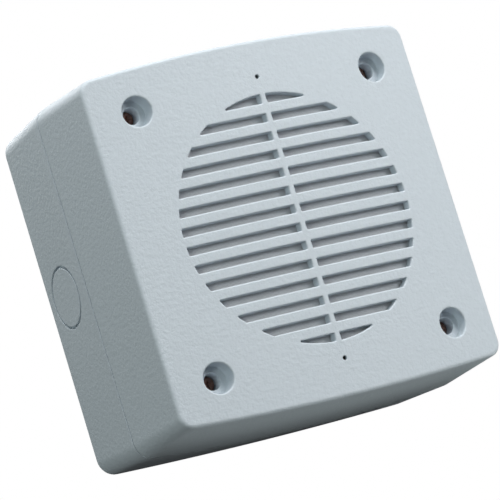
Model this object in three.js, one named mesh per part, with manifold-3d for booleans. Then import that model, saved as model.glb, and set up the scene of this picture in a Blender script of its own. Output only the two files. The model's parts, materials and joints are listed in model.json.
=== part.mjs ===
// Indoor alarm siren: a moulded two-part housing that hangs on a wall, a paper-cone loudspeaker
// behind a louvred front, and a driver board with terminals and a cover tamper switch.
//
// Millimetres. X runs to the right of someone facing the siren, Y from the louvred front back
// to the wall, and Z up. The origin is the centre of the flat rear face against the wall.

import * as THREE from 'three';
import { mergeVertices } from 'three/addons/utils/BufferGeometryUtils.js';
import Module from 'manifold-3d';

const wasm = await Module();
wasm.setup();

// ---- Driving dimensions ----

// Housing: a rear base and a front cover that meet at a seam, where both are widest.
const BASE_DEPTH = 30;
const COVER_DEPTH = 32;
const FACE_BOW = 4.4;
const FACE_OUTLINE = { width: 115, height: 109.6, bow: 2.2, radius: 4.5 };
const SEAM_OUTLINE = { width: 116.5, height: 113.1, bow: 2.15, radius: 5.5 };
const REAR_OUTLINE = { width: 114.8, height: 110.7, bow: 0.75, radius: 5.5 };
const SIDE_WALL = 2.5;
const FACE_WALL = 3.2;
const GAP = 0.3;
const LIP_HEIGHT = 2.2;
const LIP_THICKNESS = 1.05;

// Louvred grille.
const GRILLE_RADIUS = 39.6;
const LOUVRE_ROWS = 14;
const LOUVRE_PITCH = 5.87;
const LOUVRE_SLOT = 2.84;
const GRILLE_RIB_WIDTH = 2;
const PINHOLE_RADIUS = 0.65;
const PINHOLE_SPACING = 90.4;
const CLOTH_RADIUS = 40.1;
const CLOTH_THICKNESS = 0.6;

// Cover screws in their wells.
const SCREW_SPACING = 84;
const WELL_RADIUS = 4.8;
const WELL_DEPTH = 4.6;
const HEAD_BORE_RADIUS = 2.7;
const HEAD_BORE_DEPTH = 3.2;
const COVER_SCREW_HEAD_RADIUS = 2.4;
const COVER_SCREW_HEAD_HEIGHT = 2;
const COVER_SCREW_RADIUS = 1.4;
const CROSS_RECESS_SIZE = 3.1;
const CROSS_RECESS_DEPTH = 1.1;
const COVER_SCREW_LENGTH = 36;
const PILLAR_RADIUS = 4.5;
const WELL_BOSS_RADIUS = 6.2;
const SHANK_BORE_RADIUS = 1.7;
const PILOT_DEPTH = 15;
const PILLAR_WEB = 1.6;
const PILLAR_WEB_SETBACK = 6;

// Cable knockouts, open cable entry and wall fixing holes of the base.
const KNOCKOUT_RADIUS = 10;
const KNOCKOUT_GROOVE_WIDTH = 0.7;
const KNOCKOUT_GROOVE_DEPTH = 0.9;
const KNOCKOUT_Y = -13.9;
const REAR_KNOCKOUT_Z = -41;
const CABLE_ENTRY_X = -44;
const CABLE_ENTRY_WIDTH = 12;
const CABLE_ENTRY_LENGTH = 22;
const WALL_HOLE_RADIUS = 2.25;
const WALL_HOLE_X = 45;
const WALL_HOLE_Z = 26;

// Loudspeaker, from its seat on the cover back to its yoke.
const SEAT_Y = -58.5;
const SEAT_INNER_RADIUS = 40.6;
const SEAT_OUTER_RADIUS = 43;
const SPEAKER_RADIUS = 44;
const GASKET_INNER_RADIUS = 38.8;
const GASKET_OUTER_RADIUS = 43.4;
const GASKET_THICKNESS = 1;
const SURROUND_THICKNESS = 0.5;
const SURROUND_INNER_RADIUS = 33.2;
const SURROUND_ROLL = 2.3;
const BASKET_THICKNESS = 1;
const BASKET_KNEE_RADIUS = 39.6;
const BASKET_LEDGE_OUTER_RADIUS = 24;
const BASKET_LEDGE_INNER_RADIUS = 20.5;
const BASKET_LEDGE_Y = -41.6;
const BASKET_FLOOR_Y = -36.5;
const BASKET_HOLE_RADIUS = 12.5;
const BASKET_WINDOWS = 6;
const BASKET_WINDOW_INNER = 26;
const BASKET_WINDOW_OUTER = 36.5;
const BASKET_WINDOW_WIDTH = 18;
const CONE_RIM_RADIUS = 32.9;
const CONE_NECK_RADIUS = 10.3;
const CONE_NECK_Y = -44.1;
const CONE_THICKNESS = 0.7;
const CONE_RIM_WIDTH = 1;
const DUST_CAP_RADIUS = 12;
const DUST_CAP_RISE = 4;
const DUST_CAP_THICKNESS = 0.5;
const COIL_INNER_RADIUS = 9.6;
const COIL_FORMER_WALL = 0.4;
const COIL_WINDING_WALL = 0.5;
const COIL_WINDING_LENGTH = 5;
const COIL_REAR_MARGIN = 0.4;
const COIL_FRONT_Y = -45.6;
const COIL_REAR_Y = -32;
const SPIDER_OUTER_RADIUS = 23.7;
const SPIDER_INNER_RADIUS = 10.4;
const SPIDER_WAVE = 0.5;
const SPIDER_WAVES = 3;
const SPIDER_THICKNESS = 0.4;
const TOP_PLATE_THICKNESS = 2.7;
const TOP_PLATE_RADIUS = 22;
const TOP_PLATE_BORE_RADIUS = 11.2;
const MAGNET_RADIUS = 22.5;
const MAGNET_BORE_RADIUS = 13;
const MAGNET_THICKNESS = 8;
const POLE_RADIUS = 9;
const YOKE_THICKNESS = 3;

// Clamps that hold the loudspeaker's rim to bosses on the cover.
const CLAMP_BOLT_CIRCLE = 50;
const CLAMP_BOSS_RADIUS = 3;
const CLAMP_INNER = 41.2;
const CLAMP_OUTER = 53.4;
const CLAMP_WIDTH = 7;
const CLAMP_THICKNESS = 1;
const CLAMP_SCREW_RADIUS = 1;
const CLAMP_SCREW_HEAD_RADIUS = 2.5;
const CLAMP_SCREW_HEAD_HEIGHT = 1.6;
const CLAMP_SCREW_TIP_Y = -60;

// Tag board and leads of the loudspeaker.
const TAG_BOARD_WIDTH = 16;
const TAG_BOARD_TOP = -40;
const TAG_BOARD_BOTTOM = -49;
const TAG_BOARD_THICKNESS = 1.2;
const TAG_X = 4.5;
const TAG_WIDTH = 2.4;
const TAG_THICKNESS = 0.5;
const TAG_BOTTOM = -51.5;
const TAG_LENGTH = 8.5;
const LEAD_RADIUS = 0.7;

// The path of the lead at +X, from its tag to the board; the other one mirrors it in X.
const LEAD_PATH = [
  [4.5, -52.5, -50.5], [5.1, -44, -50.4], [6.1, -33, -48], [6.1, -22, -40],
  [4.5, -14, -31], [3.9, -11, -26.5], [3.7, -8.7, -25],
];

// Driver board on posts of the base, and what is soldered to it.
const BOARD_FRONT_Y = -8.4;
const BOARD_THICKNESS = 1.6;
const BOARD_HALF_WIDTH = 34;
const BOARD_BOTTOM = -30;
const BOARD_TOP = 51;
const BOARD_HOLE_X = 30.5;
const BOARD_HOLE_INSET = 3.5;
const BOARD_HOLE_RADIUS = 1.4;
const BOARD_POST_RADIUS = 3;
const BOARD_SCREW_RADIUS = 1;
const BOARD_SCREW_HEAD_RADIUS = 2.4;
const BOARD_SCREW_HEAD_HEIGHT = 1.6;
const BOARD_SCREW_TIP_Y = -3.6;
const CHIP = {
  x: 2, z: 38, length: 9.6, width: 6.4, height: 3.3, standoff: 0.8, legs: 4, legPitch: 2.54, leg: 0.6,
};
const TRANSISTOR = {
  x: 26.5, z: [-6, -18], width: 10, bodyHeight: 9, bodyThickness: 4.4, tabHeight: 6.2, tabThickness: 1.3,
  tabHole: 1.8, standoff: 3.5, legPitch: 2.54, legWidth: 0.8, legThickness: 0.6,
};
const RESERVOIR_CAPACITOR = { x: 26.4, z: 30, radius: 6.2, height: 20 };
const COUPLING_CAPACITOR = { x: 28, z: 12, radius: 4, height: 12 };
const CAN_BEVEL = 0.6;
const CAN_GROOVE_HEIGHT = 2;
const RESISTOR = { x: [-16, -11, -6], z: 38, radius: 1.15, length: 6.4, span: 10, wire: 0.6, height: 1.6 };
const TERMINAL = {
  x0: -33, x1: -25, z: 6, pitch: 5.08, ways: 4, height: 10, chamfer: 3, mouthDepth: 4, mouthWidth: 3.2,
  mouthLow: 2, mouthHigh: 5, wellRadius: 1.9, wellDepth: 4, screwRadius: 1.55, screwLength: 2.6,
  screwInset: 0.8, screwSlot: 0.6,
};

// Cover tamper switch.
const TAMPER_X = 16;
const TAMPER_Z = 46.5;
const TAMPER_BODY_WIDTH = 12.8;
const TAMPER_BODY_HEIGHT = 6.5;
const TAMPER_BODY_FRONT_Y = -15.2;
const TAMPER_PLUNGER_RADIUS = 1.2;
const TAMPER_BORE_RADIUS = 1.6;
const TAMPER_PLUNGER_REAR_Y = -12.4;
const TAMPER_BORE_END_Y = -11.2;
const TAMPER_COLLAR_Y = -21;
const TAMPER_COLLAR_RADIUS = 2.6;
const TAMPER_COLLAR_THICKNESS = 1;
const TAMPER_TIP_Y = -23.4;
const TAMPER_TIP_BEVEL = 0.5;
const TAMPER_SPRING_RADIUS = 2.1;
const TAMPER_SPRING_WIRE = 0.25;
const TAMPER_SPRING_TURNS = 4;
const TAMPER_POST_RADIUS = 2.5;

// ---- Levels worked out from the driving dimensions ----

const FACE_EDGE_Y = -(BASE_DEPTH + COVER_DEPTH);
const FACE_CROWN_Y = FACE_EDGE_Y - FACE_BOW;
const SCREW_X = SCREW_SPACING / 2;
const faceY = (x) => FACE_CROWN_Y + FACE_BOW * (2 * x / FACE_OUTLINE.width) ** 2;
const WELL_FLOOR_Y = faceY(SCREW_X) + WELL_DEPTH;
const HEAD_FRONT_Y = WELL_FLOOR_Y + HEAD_BORE_DEPTH;
const HEAD_SEAT_Y = HEAD_FRONT_Y + COVER_SCREW_HEAD_HEIGHT;
const COVER_PILLAR_END_Y = -BASE_DEPTH - 2 * GAP;
const GASKET_FRONT_Y = SEAT_Y + GAP;
const SURROUND_FRONT_Y = GASKET_FRONT_Y + GASKET_THICKNESS + GAP;
const FLANGE_FRONT_Y = SURROUND_FRONT_Y + SURROUND_THICKNESS + GAP;
const FLANGE_REAR_Y = FLANGE_FRONT_Y + BASKET_THICKNESS;
const TOP_PLATE_Y = BASKET_FLOOR_Y + GAP;
const MAGNET_Y = TOP_PLATE_Y + TOP_PLATE_THICKNESS + GAP;
const YOKE_Y = MAGNET_Y + MAGNET_THICKNESS + GAP;
const CLAMP_FRONT_Y = FLANGE_REAR_Y + GAP;
const CLAMP_REAR_Y = CLAMP_FRONT_Y + CLAMP_THICKNESS;
const BOARD_REAR_Y = BOARD_FRONT_Y + BOARD_THICKNESS;
const COMPONENT_Y = BOARD_FRONT_Y - GAP;
const FAR = 90;

// How many flat sides stand in for a circle or a curve.
const GRILLE_SIDES = 56;
const LARGE_SIDES = 28;
const MEDIUM_SIDES = 18;
const SMALL_SIDES = 10;
const OUTLINE_STEPS = 4;
const FACE_STEPS = 8;
const PROFILE_STEPS = 4;
const LEAD_STEPS = 22;
const SPRING_STEPS_PER_TURN = 9;
const SPRING_WIRE_STEPS = 2;

// ---- Materials ----

const paint = (color, roughness, metalness = 0) =>
  new THREE.MeshStandardMaterial({ color, roughness, metalness });

const HOUSING_PLASTIC = paint(0xc9ced2, 0.62);
const CLOTH = paint(0x8d9092, 0.95);
const FOAM = paint(0x2c2d2e, 0.95);
const RUBBER = paint(0x1c1c1d, 0.8);
const PAPER = paint(0x242322, 0.9);
const PRESSED_STEEL = paint(0x9da1a4, 0.4, 0.9);
const ZINC_STEEL = paint(0xb9bcbd, 0.35, 0.95);
const BRONZED_STEEL = paint(0x5b3d2a, 0.4, 0.85);
const FERRITE = paint(0x2a2b2d, 0.75);
const COPPER = paint(0xb06a3c, 0.35, 0.9);
const PHENOLIC = paint(0x6b4527, 0.7);
const TINNED = paint(0xc3c5c6, 0.3, 0.9);
const RED_PVC = paint(0xa81f1c, 0.5);
const BLACK_PVC = paint(0x151515, 0.5);
const BOARD_GREEN = paint(0x1f5a37, 0.45);
const BLACK_EPOXY = paint(0x17181a, 0.55);
const CAPACITOR_SLEEVE = paint(0x1d2440, 0.35);
const RESISTOR_BODY = paint(0xc7ab7c, 0.5);
const TERMINAL_GREEN = paint(0x2e7d4a, 0.5);
const SPRING_STEEL = paint(0xa9acae, 0.3, 0.95);
const SPIDER_CLOTH = paint(0xb98c4a, 0.9);

// ---- Solid helpers ----

// Joins the shared corners of a geometry and drops triangles that have no area.
function closed(geometry) {
  const bare = geometry.index ? geometry.clone() : geometry;
  bare.deleteAttribute('normal');
  bare.deleteAttribute('uv');
  const merged = mergeVertices(bare, 1e-4);
  const kept = [];
  const index = merged.index.array;
  for (let i = 0; i < index.length; i += 3) {
    const [a, b, c] = [index[i], index[i + 1], index[i + 2]];
    const hasArea = a !== b && b !== c && c !== a;
    if (hasArea) {
      kept.push(a, b, c);
    }
  }
  merged.setIndex(kept);
  return merged;
}

function solid(geometry) {
  const merged = closed(geometry);
  return new wasm.Manifold(new wasm.Mesh({
    numProp: 3,
    vertProperties: new Float32Array(merged.attributes.position.array),
    triVerts: new Uint32Array(merged.index.array),
  }));
}

function geometryOf(body) {
  const mesh = body.getMesh();
  const geometry = new THREE.BufferGeometry();
  geometry.setAttribute('position', new THREE.BufferAttribute(mesh.vertProperties, 3));
  geometry.setIndex(new THREE.BufferAttribute(mesh.triVerts, 1));
  geometry.computeVertexNormals();
  return geometry;
}

const join = (bodies) => bodies.reduce((whole, body) => whole.add(body));

// A box between two corners.
function block(x0, x1, y0, y1, z0, z1) {
  const geometry = new THREE.BoxGeometry(x1 - x0, y1 - y0, z1 - z0);
  return geometry.translate((x0 + x1) / 2, (y0 + y1) / 2, (z0 + z1) / 2);
}

// A round bar along Y.
function bar(radius, y0, y1, x = 0, z = 0, sides = SMALL_SIDES) {
  const geometry = new THREE.CylinderGeometry(radius, radius, y1 - y0, sides);
  return geometry.translate(x, (y0 + y1) / 2, z);
}

// A closed [radius, y] profile turned about the Y axis through x, z. The profile runs round
// the section with its outer side first towards +Y.
function turned(profile, sides = LARGE_SIDES, x = 0, z = 0) {
  const points = profile.map(([radius, y]) => new THREE.Vector2(radius, y));
  if (profile[0][0] > 0) points.push(points[0].clone());
  return new THREE.LatheGeometry(points, sides).translate(x, 0, z);
}

// A flat ring about the Y axis.
function ring(inner, outer, y0, y1, sides = LARGE_SIDES) {
  return turned([[outer, y0], [outer, y1], [inner, y1], [inner, y0]], sides);
}

// A disc-headed screw along Y, its head towards the front or towards the rear.
function screw(x, z, headFront, headHeight, headRadius, shankRadius, tipY) {
  const away = Math.sign(tipY - headFront);
  const seat = headFront + away * headHeight;
  const levels = [headFront, seat, tipY].sort((a, b) => a - b);
  const radii = away > 0 ? [headRadius, shankRadius] : [shankRadius, headRadius];
  const profile = [
    [0, levels[0]], [radii[0], levels[0]], [radii[0], levels[1]],
    [radii[1], levels[1]], [radii[1], levels[2]], [0, levels[2]],
  ];
  return turned(profile, SMALL_SIDES, x, z);
}

// A cross recess that fits a screw head at x, z.
function crossRecess(x, z, y0, y1, size) {
  const half = size / 2;
  const thin = size / 7;
  const upright = block(x - thin, x + thin, y0, y1, z - half, z + half);
  const level = block(x - half, x + half, y0, y1, z - thin, z + thin);
  return solid(upright).add(solid(level));
}

// ---- Housing ----

// The housing's outline at one depth, moved inwards by inset: straight sides, and a top and a
// bottom that bow outwards between rounded corners.
function outline(station, inset) {
  const radius = Math.max(station.radius - inset, 0.8);
  const x = station.width / 2 - inset;
  const z = station.height / 2 - inset;
  const crown = z + 2 * station.bow;
  const shape = new THREE.Shape();
  shape.moveTo(x, radius - z);
  shape.lineTo(x, z - radius);
  shape.absarc(x - radius, z - radius, radius, 0, Math.PI / 2);
  shape.quadraticCurveTo(0, crown, radius - x, z);
  shape.absarc(radius - x, z - radius, radius, Math.PI / 2, Math.PI);
  shape.lineTo(-x, radius - z);
  shape.absarc(radius - x, radius - z, radius, Math.PI, 1.5 * Math.PI);
  shape.quadraticCurveTo(0, -crown, x - radius, -z);
  shape.absarc(x - radius, radius - z, radius, 1.5 * Math.PI, 2 * Math.PI);
  return shape;
}

// A housing half's form, moved inwards by inset. It starts at the seam with the seam's outline
// and changes evenly towards the end outline, which it reaches formDepth from the seam. It is
// depth long, and points to the front when side is -1 and to the wall when side is 1.
function form(inset, end, formDepth, depth, side) {
  const start = outline(SEAM_OUTLINE, inset);
  const from = start.getPoints(OUTLINE_STEPS);
  const to = outline(end, inset).getPoints(OUTLINE_STEPS);
  const geometry = new THREE.ExtrudeGeometry(start, {
    depth, bevelEnabled: false, curveSegments: OUTLINE_STEPS,
  });
  const vertices = geometry.attributes.position;
  const here = new THREE.Vector2();
  for (let i = 0; i < vertices.count; i += 1) {
    here.set(vertices.getX(i), vertices.getY(i));
    const match = from.findIndex((point) => point.distanceTo(here) < 1e-4);
    const share = vertices.getZ(i) / formDepth;
    here.lerpVectors(from[match], to[match], share);
    vertices.setXY(i, here.x, here.y);
  }
  geometry.rotateX(Math.PI / 2).translate(0, -BASE_DEPTH, 0);
  const body = solid(geometry);
  return side < 0 ? body : body.mirror([0, 1, 0]).translate([0, -2 * BASE_DEPTH, 0]);
}

const coverForm = (inset, depth) => form(inset, FACE_OUTLINE, COVER_DEPTH, depth, -1);
const baseForm = (inset, depth) => form(inset, REAR_OUTLINE, BASE_DEPTH, depth, 1);

// Everything that lies behind the bowed face surface, moved back by inset.
function behindFace(inset) {
  const x = SEAM_OUTLINE.width / 2 + FACE_BOW;
  const edge = faceY(x) + inset;
  const shape = new THREE.Shape();
  shape.moveTo(-x, edge);
  shape.quadraticCurveTo(0, 2 * (FACE_CROWN_Y + inset) - edge, x, edge);
  shape.lineTo(x, 0);
  shape.lineTo(-x, 0);
  const geometry = new THREE.ExtrudeGeometry(shape, {
    depth: 2 * FAR, bevelEnabled: false, curveSegments: FACE_STEPS,
  });
  return solid(geometry.translate(0, 0, -FAR));
}

const corners = [[-1, 1], [1, 1], [-1, -1], [1, -1]];

// The louvre slots: rows of straight gaps trimmed by the grille's circle and split by a rib.
function louvreSlots() {
  const rows = [];
  const outermost = (LOUVRE_ROWS - 1) / 2;
  for (let row = 0; row < LOUVRE_ROWS; row += 1) {
    const place = row - outermost;
    const z = place * LOUVRE_PITCH;
    const spare = Math.abs(place) === outermost ? LOUVRE_SLOT : 0;
    const low = z - LOUVRE_SLOT / 2 - (place < 0 ? spare : 0);
    const high = z + LOUVRE_SLOT / 2 + (place > 0 ? spare : 0);
    rows.push(solid(block(-FAR, -GRILLE_RIB_WIDTH / 2, -FAR, SEAT_Y, low, high)));
    rows.push(solid(block(GRILLE_RIB_WIDTH / 2, FAR, -FAR, SEAT_Y, low, high)));
  }
  return join(rows).intersect(solid(bar(GRILLE_RADIUS, -FAR, 0, 0, 0, GRILLE_SIDES)));
}

// One pillar of the cover: the well's boss, the screw pillar and a web to the side wall.
function coverPillar(x, z) {
  const wellBoss = bar(WELL_BOSS_RADIUS, FACE_CROWN_Y, WELL_FLOOR_Y + SIDE_WALL, x, z, MEDIUM_SIDES);
  const pillar = bar(PILLAR_RADIUS, FACE_CROWN_Y, COVER_PILLAR_END_Y, x, z);
  const wall = Math.sign(x) * (FACE_OUTLINE.width / 2 - SIDE_WALL / 2);
  const web = block(Math.min(x, wall), Math.max(x, wall), FACE_EDGE_Y,
    COVER_PILLAR_END_Y - PILLAR_WEB_SETBACK,
    z - PILLAR_WEB / 2, z + PILLAR_WEB / 2);
  return join([solid(wellBoss), solid(pillar), solid(web)]);
}

function coverPillarBores(x, z) {
  return join([
    solid(bar(WELL_RADIUS, -FAR, WELL_FLOOR_Y, x, z, MEDIUM_SIDES)),
    solid(bar(HEAD_BORE_RADIUS, -FAR, HEAD_SEAT_Y + GAP, x, z, MEDIUM_SIDES)),
    solid(bar(SHANK_BORE_RADIUS, -FAR, 0, x, z)),
  ]);
}

const clampPlace = ([sx, sz]) => {
  const reach = CLAMP_BOLT_CIRCLE / Math.SQRT2;
  return [sx * reach, sz * reach];
};

function frontCover() {
  const fullDepth = COVER_DEPTH + FACE_BOW + 1;
  const outer = coverForm(0, fullDepth).intersect(behindFace(0));
  const hollow = coverForm(SIDE_WALL, fullDepth).intersect(behindFace(FACE_WALL));
  const inside = [
    solid(ring(SEAT_INNER_RADIUS, SEAT_OUTER_RADIUS, FACE_CROWN_Y, SEAT_Y, LARGE_SIDES)),
    solid(bar(TAMPER_POST_RADIUS, FACE_CROWN_Y, TAMPER_TIP_Y - GAP, TAMPER_X, TAMPER_Z)),
    ...corners.map(([sx, sz]) => coverPillar(sx * SCREW_X, sz * SCREW_X)),
    ...corners.map(clampPlace).map(([x, z]) =>
      solid(bar(CLAMP_BOSS_RADIUS, FACE_CROWN_Y, FLANGE_REAR_Y, x, z))),
  ];
  const fittings = join(inside).intersect(outer);
  const clampHoles = corners.map(clampPlace).map(([x, z]) =>
    solid(bar(CLAMP_SCREW_RADIUS + GAP, CLAMP_SCREW_TIP_Y - GAP, 0, x, z)));
  const pinholes = [-1, 1].map((side) =>
    solid(bar(PINHOLE_RADIUS, -FAR, SEAT_Y, 0, side * PINHOLE_SPACING / 2)));
  const seamCut = block(-FAR, FAR, -BASE_DEPTH - GAP, FAR, -FAR, FAR);
  const lipRoom = coverForm(SIDE_WALL - LIP_THICKNESS - GAP, LIP_HEIGHT + 2 * GAP);
  const cuts = [
    louvreSlots(), solid(seamCut), lipRoom,
    ...corners.map(([sx, sz]) => coverPillarBores(sx * SCREW_X, sz * SCREW_X)),
    ...clampHoles, ...pinholes,
  ];
  return geometryOf(outer.subtract(hollow).add(fittings).subtract(join(cuts)));
}

// A ring groove round a knockout disc, on the side wall of sign `side`.
function sideKnockout(side) {
  const slope = (SEAM_OUTLINE.width - REAR_OUTLINE.width) / 2 / BASE_DEPTH;
  const local = side * (SEAM_OUTLINE.width / 2 - slope * (KNOCKOUT_Y + BASE_DEPTH));
  const groove = ring(KNOCKOUT_RADIUS - KNOCKOUT_GROOVE_WIDTH, KNOCKOUT_RADIUS,
    -KNOCKOUT_GROOVE_DEPTH, 2);
  groove.rotateZ(-side * Math.PI / 2);
  return solid(groove.translate(local, KNOCKOUT_Y, 0));
}

function rearKnockout() {
  return solid(ring(KNOCKOUT_RADIUS - KNOCKOUT_GROOVE_WIDTH, KNOCKOUT_RADIUS,
    -KNOCKOUT_GROOVE_DEPTH, 2).translate(0, 0, REAR_KNOCKOUT_Z));
}

// The upright round-ended hole in the rear wall that the cable comes through.
function cableEntry() {
  const radius = CABLE_ENTRY_WIDTH / 2;
  const end = CABLE_ENTRY_LENGTH / 2 - radius;
  const shape = new THREE.Shape();
  shape.absarc(CABLE_ENTRY_X, end, radius, 0, Math.PI);
  shape.absarc(CABLE_ENTRY_X, -end, radius, Math.PI, 2 * Math.PI);
  const depth = SIDE_WALL + 2;
  const geometry = new THREE.ExtrudeGeometry(shape, {
    depth, bevelEnabled: false, curveSegments: FACE_STEPS,
  });
  return solid(geometry.rotateX(Math.PI / 2).translate(0, 1, 0));
}

function boardPosts() {
  const places = [];
  for (const x of [-BOARD_HOLE_X, BOARD_HOLE_X]) {
    for (const z of [BOARD_BOTTOM + BOARD_HOLE_INSET, BOARD_TOP - BOARD_HOLE_INSET]) {
      places.push([x, z]);
    }
  }
  return places;
}

function rearBase() {
  const rearInside = -SIDE_WALL;
  const outer = baseForm(0, BASE_DEPTH);
  const hollow = baseForm(SIDE_WALL, BASE_DEPTH + rearInside);
  const lipOutside = SIDE_WALL - LIP_THICKNESS;
  const lip = coverForm(lipOutside, LIP_HEIGHT).subtract(coverForm(SIDE_WALL, LIP_HEIGHT));
  const fittings = [];
  const cuts = [sideKnockout(-1), sideKnockout(1), rearKnockout(), cableEntry()];
  for (const [sx, sz] of corners) {
    const [x, z] = [sx * SCREW_X, sz * SCREW_X];
    const wall = sx * (REAR_OUTLINE.width / 2 - SIDE_WALL / 2);
    fittings.push(solid(bar(PILLAR_RADIUS, -BASE_DEPTH, rearInside + 1, x, z)));
    fittings.push(solid(block(Math.min(x, wall), Math.max(x, wall),
      PILLAR_WEB_SETBACK - BASE_DEPTH, rearInside + 1, z - PILLAR_WEB / 2, z + PILLAR_WEB / 2)));
    cuts.push(solid(bar(SHANK_BORE_RADIUS, -FAR, -PILOT_DEPTH, x, z)));
    cuts.push(solid(bar(WALL_HOLE_RADIUS, -SIDE_WALL - 1, 1, sx * WALL_HOLE_X, sz * WALL_HOLE_Z)));
  }
  for (const [x, z] of boardPosts()) {
    fittings.push(solid(bar(BOARD_POST_RADIUS, BOARD_REAR_Y + GAP, rearInside + 1, x, z)));
    cuts.push(solid(bar(BOARD_SCREW_RADIUS + GAP, -FAR, BOARD_SCREW_TIP_Y + GAP, x, z)));
  }
  const shell = outer.subtract(hollow).add(lip);
  return geometryOf(shell.add(join(fittings)).subtract(join(cuts)));
}

// A curved disc that follows the inside of the louvred face.
function grilleCloth() {
  const front = FACE_WALL + GAP;
  const sheet = behindFace(front).subtract(behindFace(front + CLOTH_THICKNESS));
  return geometryOf(sheet.intersect(solid(bar(CLOTH_RADIUS, -FAR, SEAT_Y, 0, 0, LARGE_SIDES))));
}

function coverScrew(x, z) {
  const tip = HEAD_SEAT_Y + COVER_SCREW_LENGTH;
  const body = screw(x, z, HEAD_FRONT_Y, COVER_SCREW_HEAD_HEIGHT, COVER_SCREW_HEAD_RADIUS,
    COVER_SCREW_RADIUS, tip);
  const recess = crossRecess(x, z, HEAD_FRONT_Y - 1, HEAD_FRONT_Y + CROSS_RECESS_DEPTH,
    CROSS_RECESS_SIZE);
  return geometryOf(solid(body).subtract(recess));
}

// ---- Loudspeaker ----

function speakerSurround() {
  const flangeRear = SURROUND_FRONT_Y + SURROUND_THICKNESS;
  const rollMid = SURROUND_INNER_RADIUS + SURROUND_ROLL;
  const arch = (radius, y) => {
    const points = [];
    for (let step = 0; step <= PROFILE_STEPS; step += 1) {
      const angle = Math.PI * step / PROFILE_STEPS;
      points.push([rollMid + radius * Math.cos(angle), y - radius * Math.sin(angle)]);
    }
    return points;
  };
  const inside = arch(SURROUND_ROLL - SURROUND_THICKNESS, flangeRear);
  const outside = arch(SURROUND_ROLL, flangeRear).reverse();
  return turned([
    ...outside, [rollMid + SURROUND_ROLL, SURROUND_FRONT_Y],
    [GASKET_OUTER_RADIUS, SURROUND_FRONT_Y], [GASKET_OUTER_RADIUS, flangeRear],
    ...inside,
  ]);
}

function speakerBasket() {
  const t = BASKET_THICKNESS;
  const shell = solid(turned([
    [SPEAKER_RADIUS, FLANGE_FRONT_Y], [SPEAKER_RADIUS, FLANGE_REAR_Y],
    [BASKET_KNEE_RADIUS, FLANGE_REAR_Y],
    [BASKET_LEDGE_OUTER_RADIUS + t, BASKET_LEDGE_Y + t],
    [BASKET_LEDGE_INNER_RADIUS + t, BASKET_LEDGE_Y + t],
    [BASKET_LEDGE_INNER_RADIUS + t, BASKET_FLOOR_Y],
    [BASKET_HOLE_RADIUS, BASKET_FLOOR_Y], [BASKET_HOLE_RADIUS, BASKET_FLOOR_Y - t],
    [BASKET_LEDGE_INNER_RADIUS, BASKET_FLOOR_Y - t],
    [BASKET_LEDGE_INNER_RADIUS, BASKET_LEDGE_Y],
    [BASKET_LEDGE_OUTER_RADIUS, BASKET_LEDGE_Y],
    [BASKET_KNEE_RADIUS - t, FLANGE_FRONT_Y],
  ]));
  const windows = [];
  for (let i = 0; i < BASKET_WINDOWS; i += 1) {
    const window = block(BASKET_WINDOW_INNER, BASKET_WINDOW_OUTER, FLANGE_REAR_Y,
      BASKET_LEDGE_Y + t / 2, -BASKET_WINDOW_WIDTH / 2, BASKET_WINDOW_WIDTH / 2);
    windows.push(solid(window.rotateY(2 * Math.PI * (i + 0.5) / BASKET_WINDOWS)));
  }
  return geometryOf(shell.subtract(join(windows)));
}

function speakerCone() {
  const rimFront = SURROUND_FRONT_Y;
  const rimRear = rimFront + CONE_THICKNESS;
  return turned([
    [CONE_NECK_RADIUS, CONE_NECK_Y - CONE_THICKNESS],
    [CONE_RIM_RADIUS - CONE_RIM_WIDTH, rimFront], [CONE_RIM_RADIUS, rimFront],
    [CONE_RIM_RADIUS, rimRear], [CONE_RIM_RADIUS - CONE_RIM_WIDTH, rimRear],
    [CONE_NECK_RADIUS, CONE_NECK_Y],
  ]);
}

// A domed cap whose skirt rests just in front of the cone, with an open rear.
function dustCap() {
  const run = CONE_RIM_RADIUS - CONE_RIM_WIDTH - CONE_NECK_RADIUS;
  const neckFront = CONE_NECK_Y - CONE_THICKNESS;
  const slope = (neckFront - SURROUND_FRONT_Y) / run;
  const clearance = GAP * Math.hypot(1, slope);
  const skirtY = neckFront - clearance - slope * (DUST_CAP_RADIUS - CONE_NECK_RADIUS);
  const dome = (radius, top) => {
    const points = [];
    for (let step = 0; step <= PROFILE_STEPS; step += 1) {
      const share = 1 - step / PROFILE_STEPS;
      points.push([radius * share, skirtY - (skirtY - top) * (1 - share ** 2)]);
    }
    return points;
  };
  const front = dome(DUST_CAP_RADIUS, skirtY - DUST_CAP_RISE).reverse();
  const rear = dome(DUST_CAP_RADIUS - DUST_CAP_THICKNESS,
    skirtY - DUST_CAP_RISE + DUST_CAP_THICKNESS);
  return turned([...front, ...rear], MEDIUM_SIDES);
}

function voiceCoil() {
  const former = COIL_INNER_RADIUS + COIL_FORMER_WALL;
  const winding = former + COIL_WINDING_WALL;
  const windingRear = COIL_REAR_Y - COIL_REAR_MARGIN;
  const windingFront = windingRear - COIL_WINDING_LENGTH;
  return turned([
    [former, COIL_FRONT_Y], [former, windingFront], [winding, windingFront],
    [winding, windingRear], [former, windingRear], [former, COIL_REAR_Y],
    [COIL_INNER_RADIUS, COIL_REAR_Y], [COIL_INNER_RADIUS, COIL_FRONT_Y],
  ], MEDIUM_SIDES);
}

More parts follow.
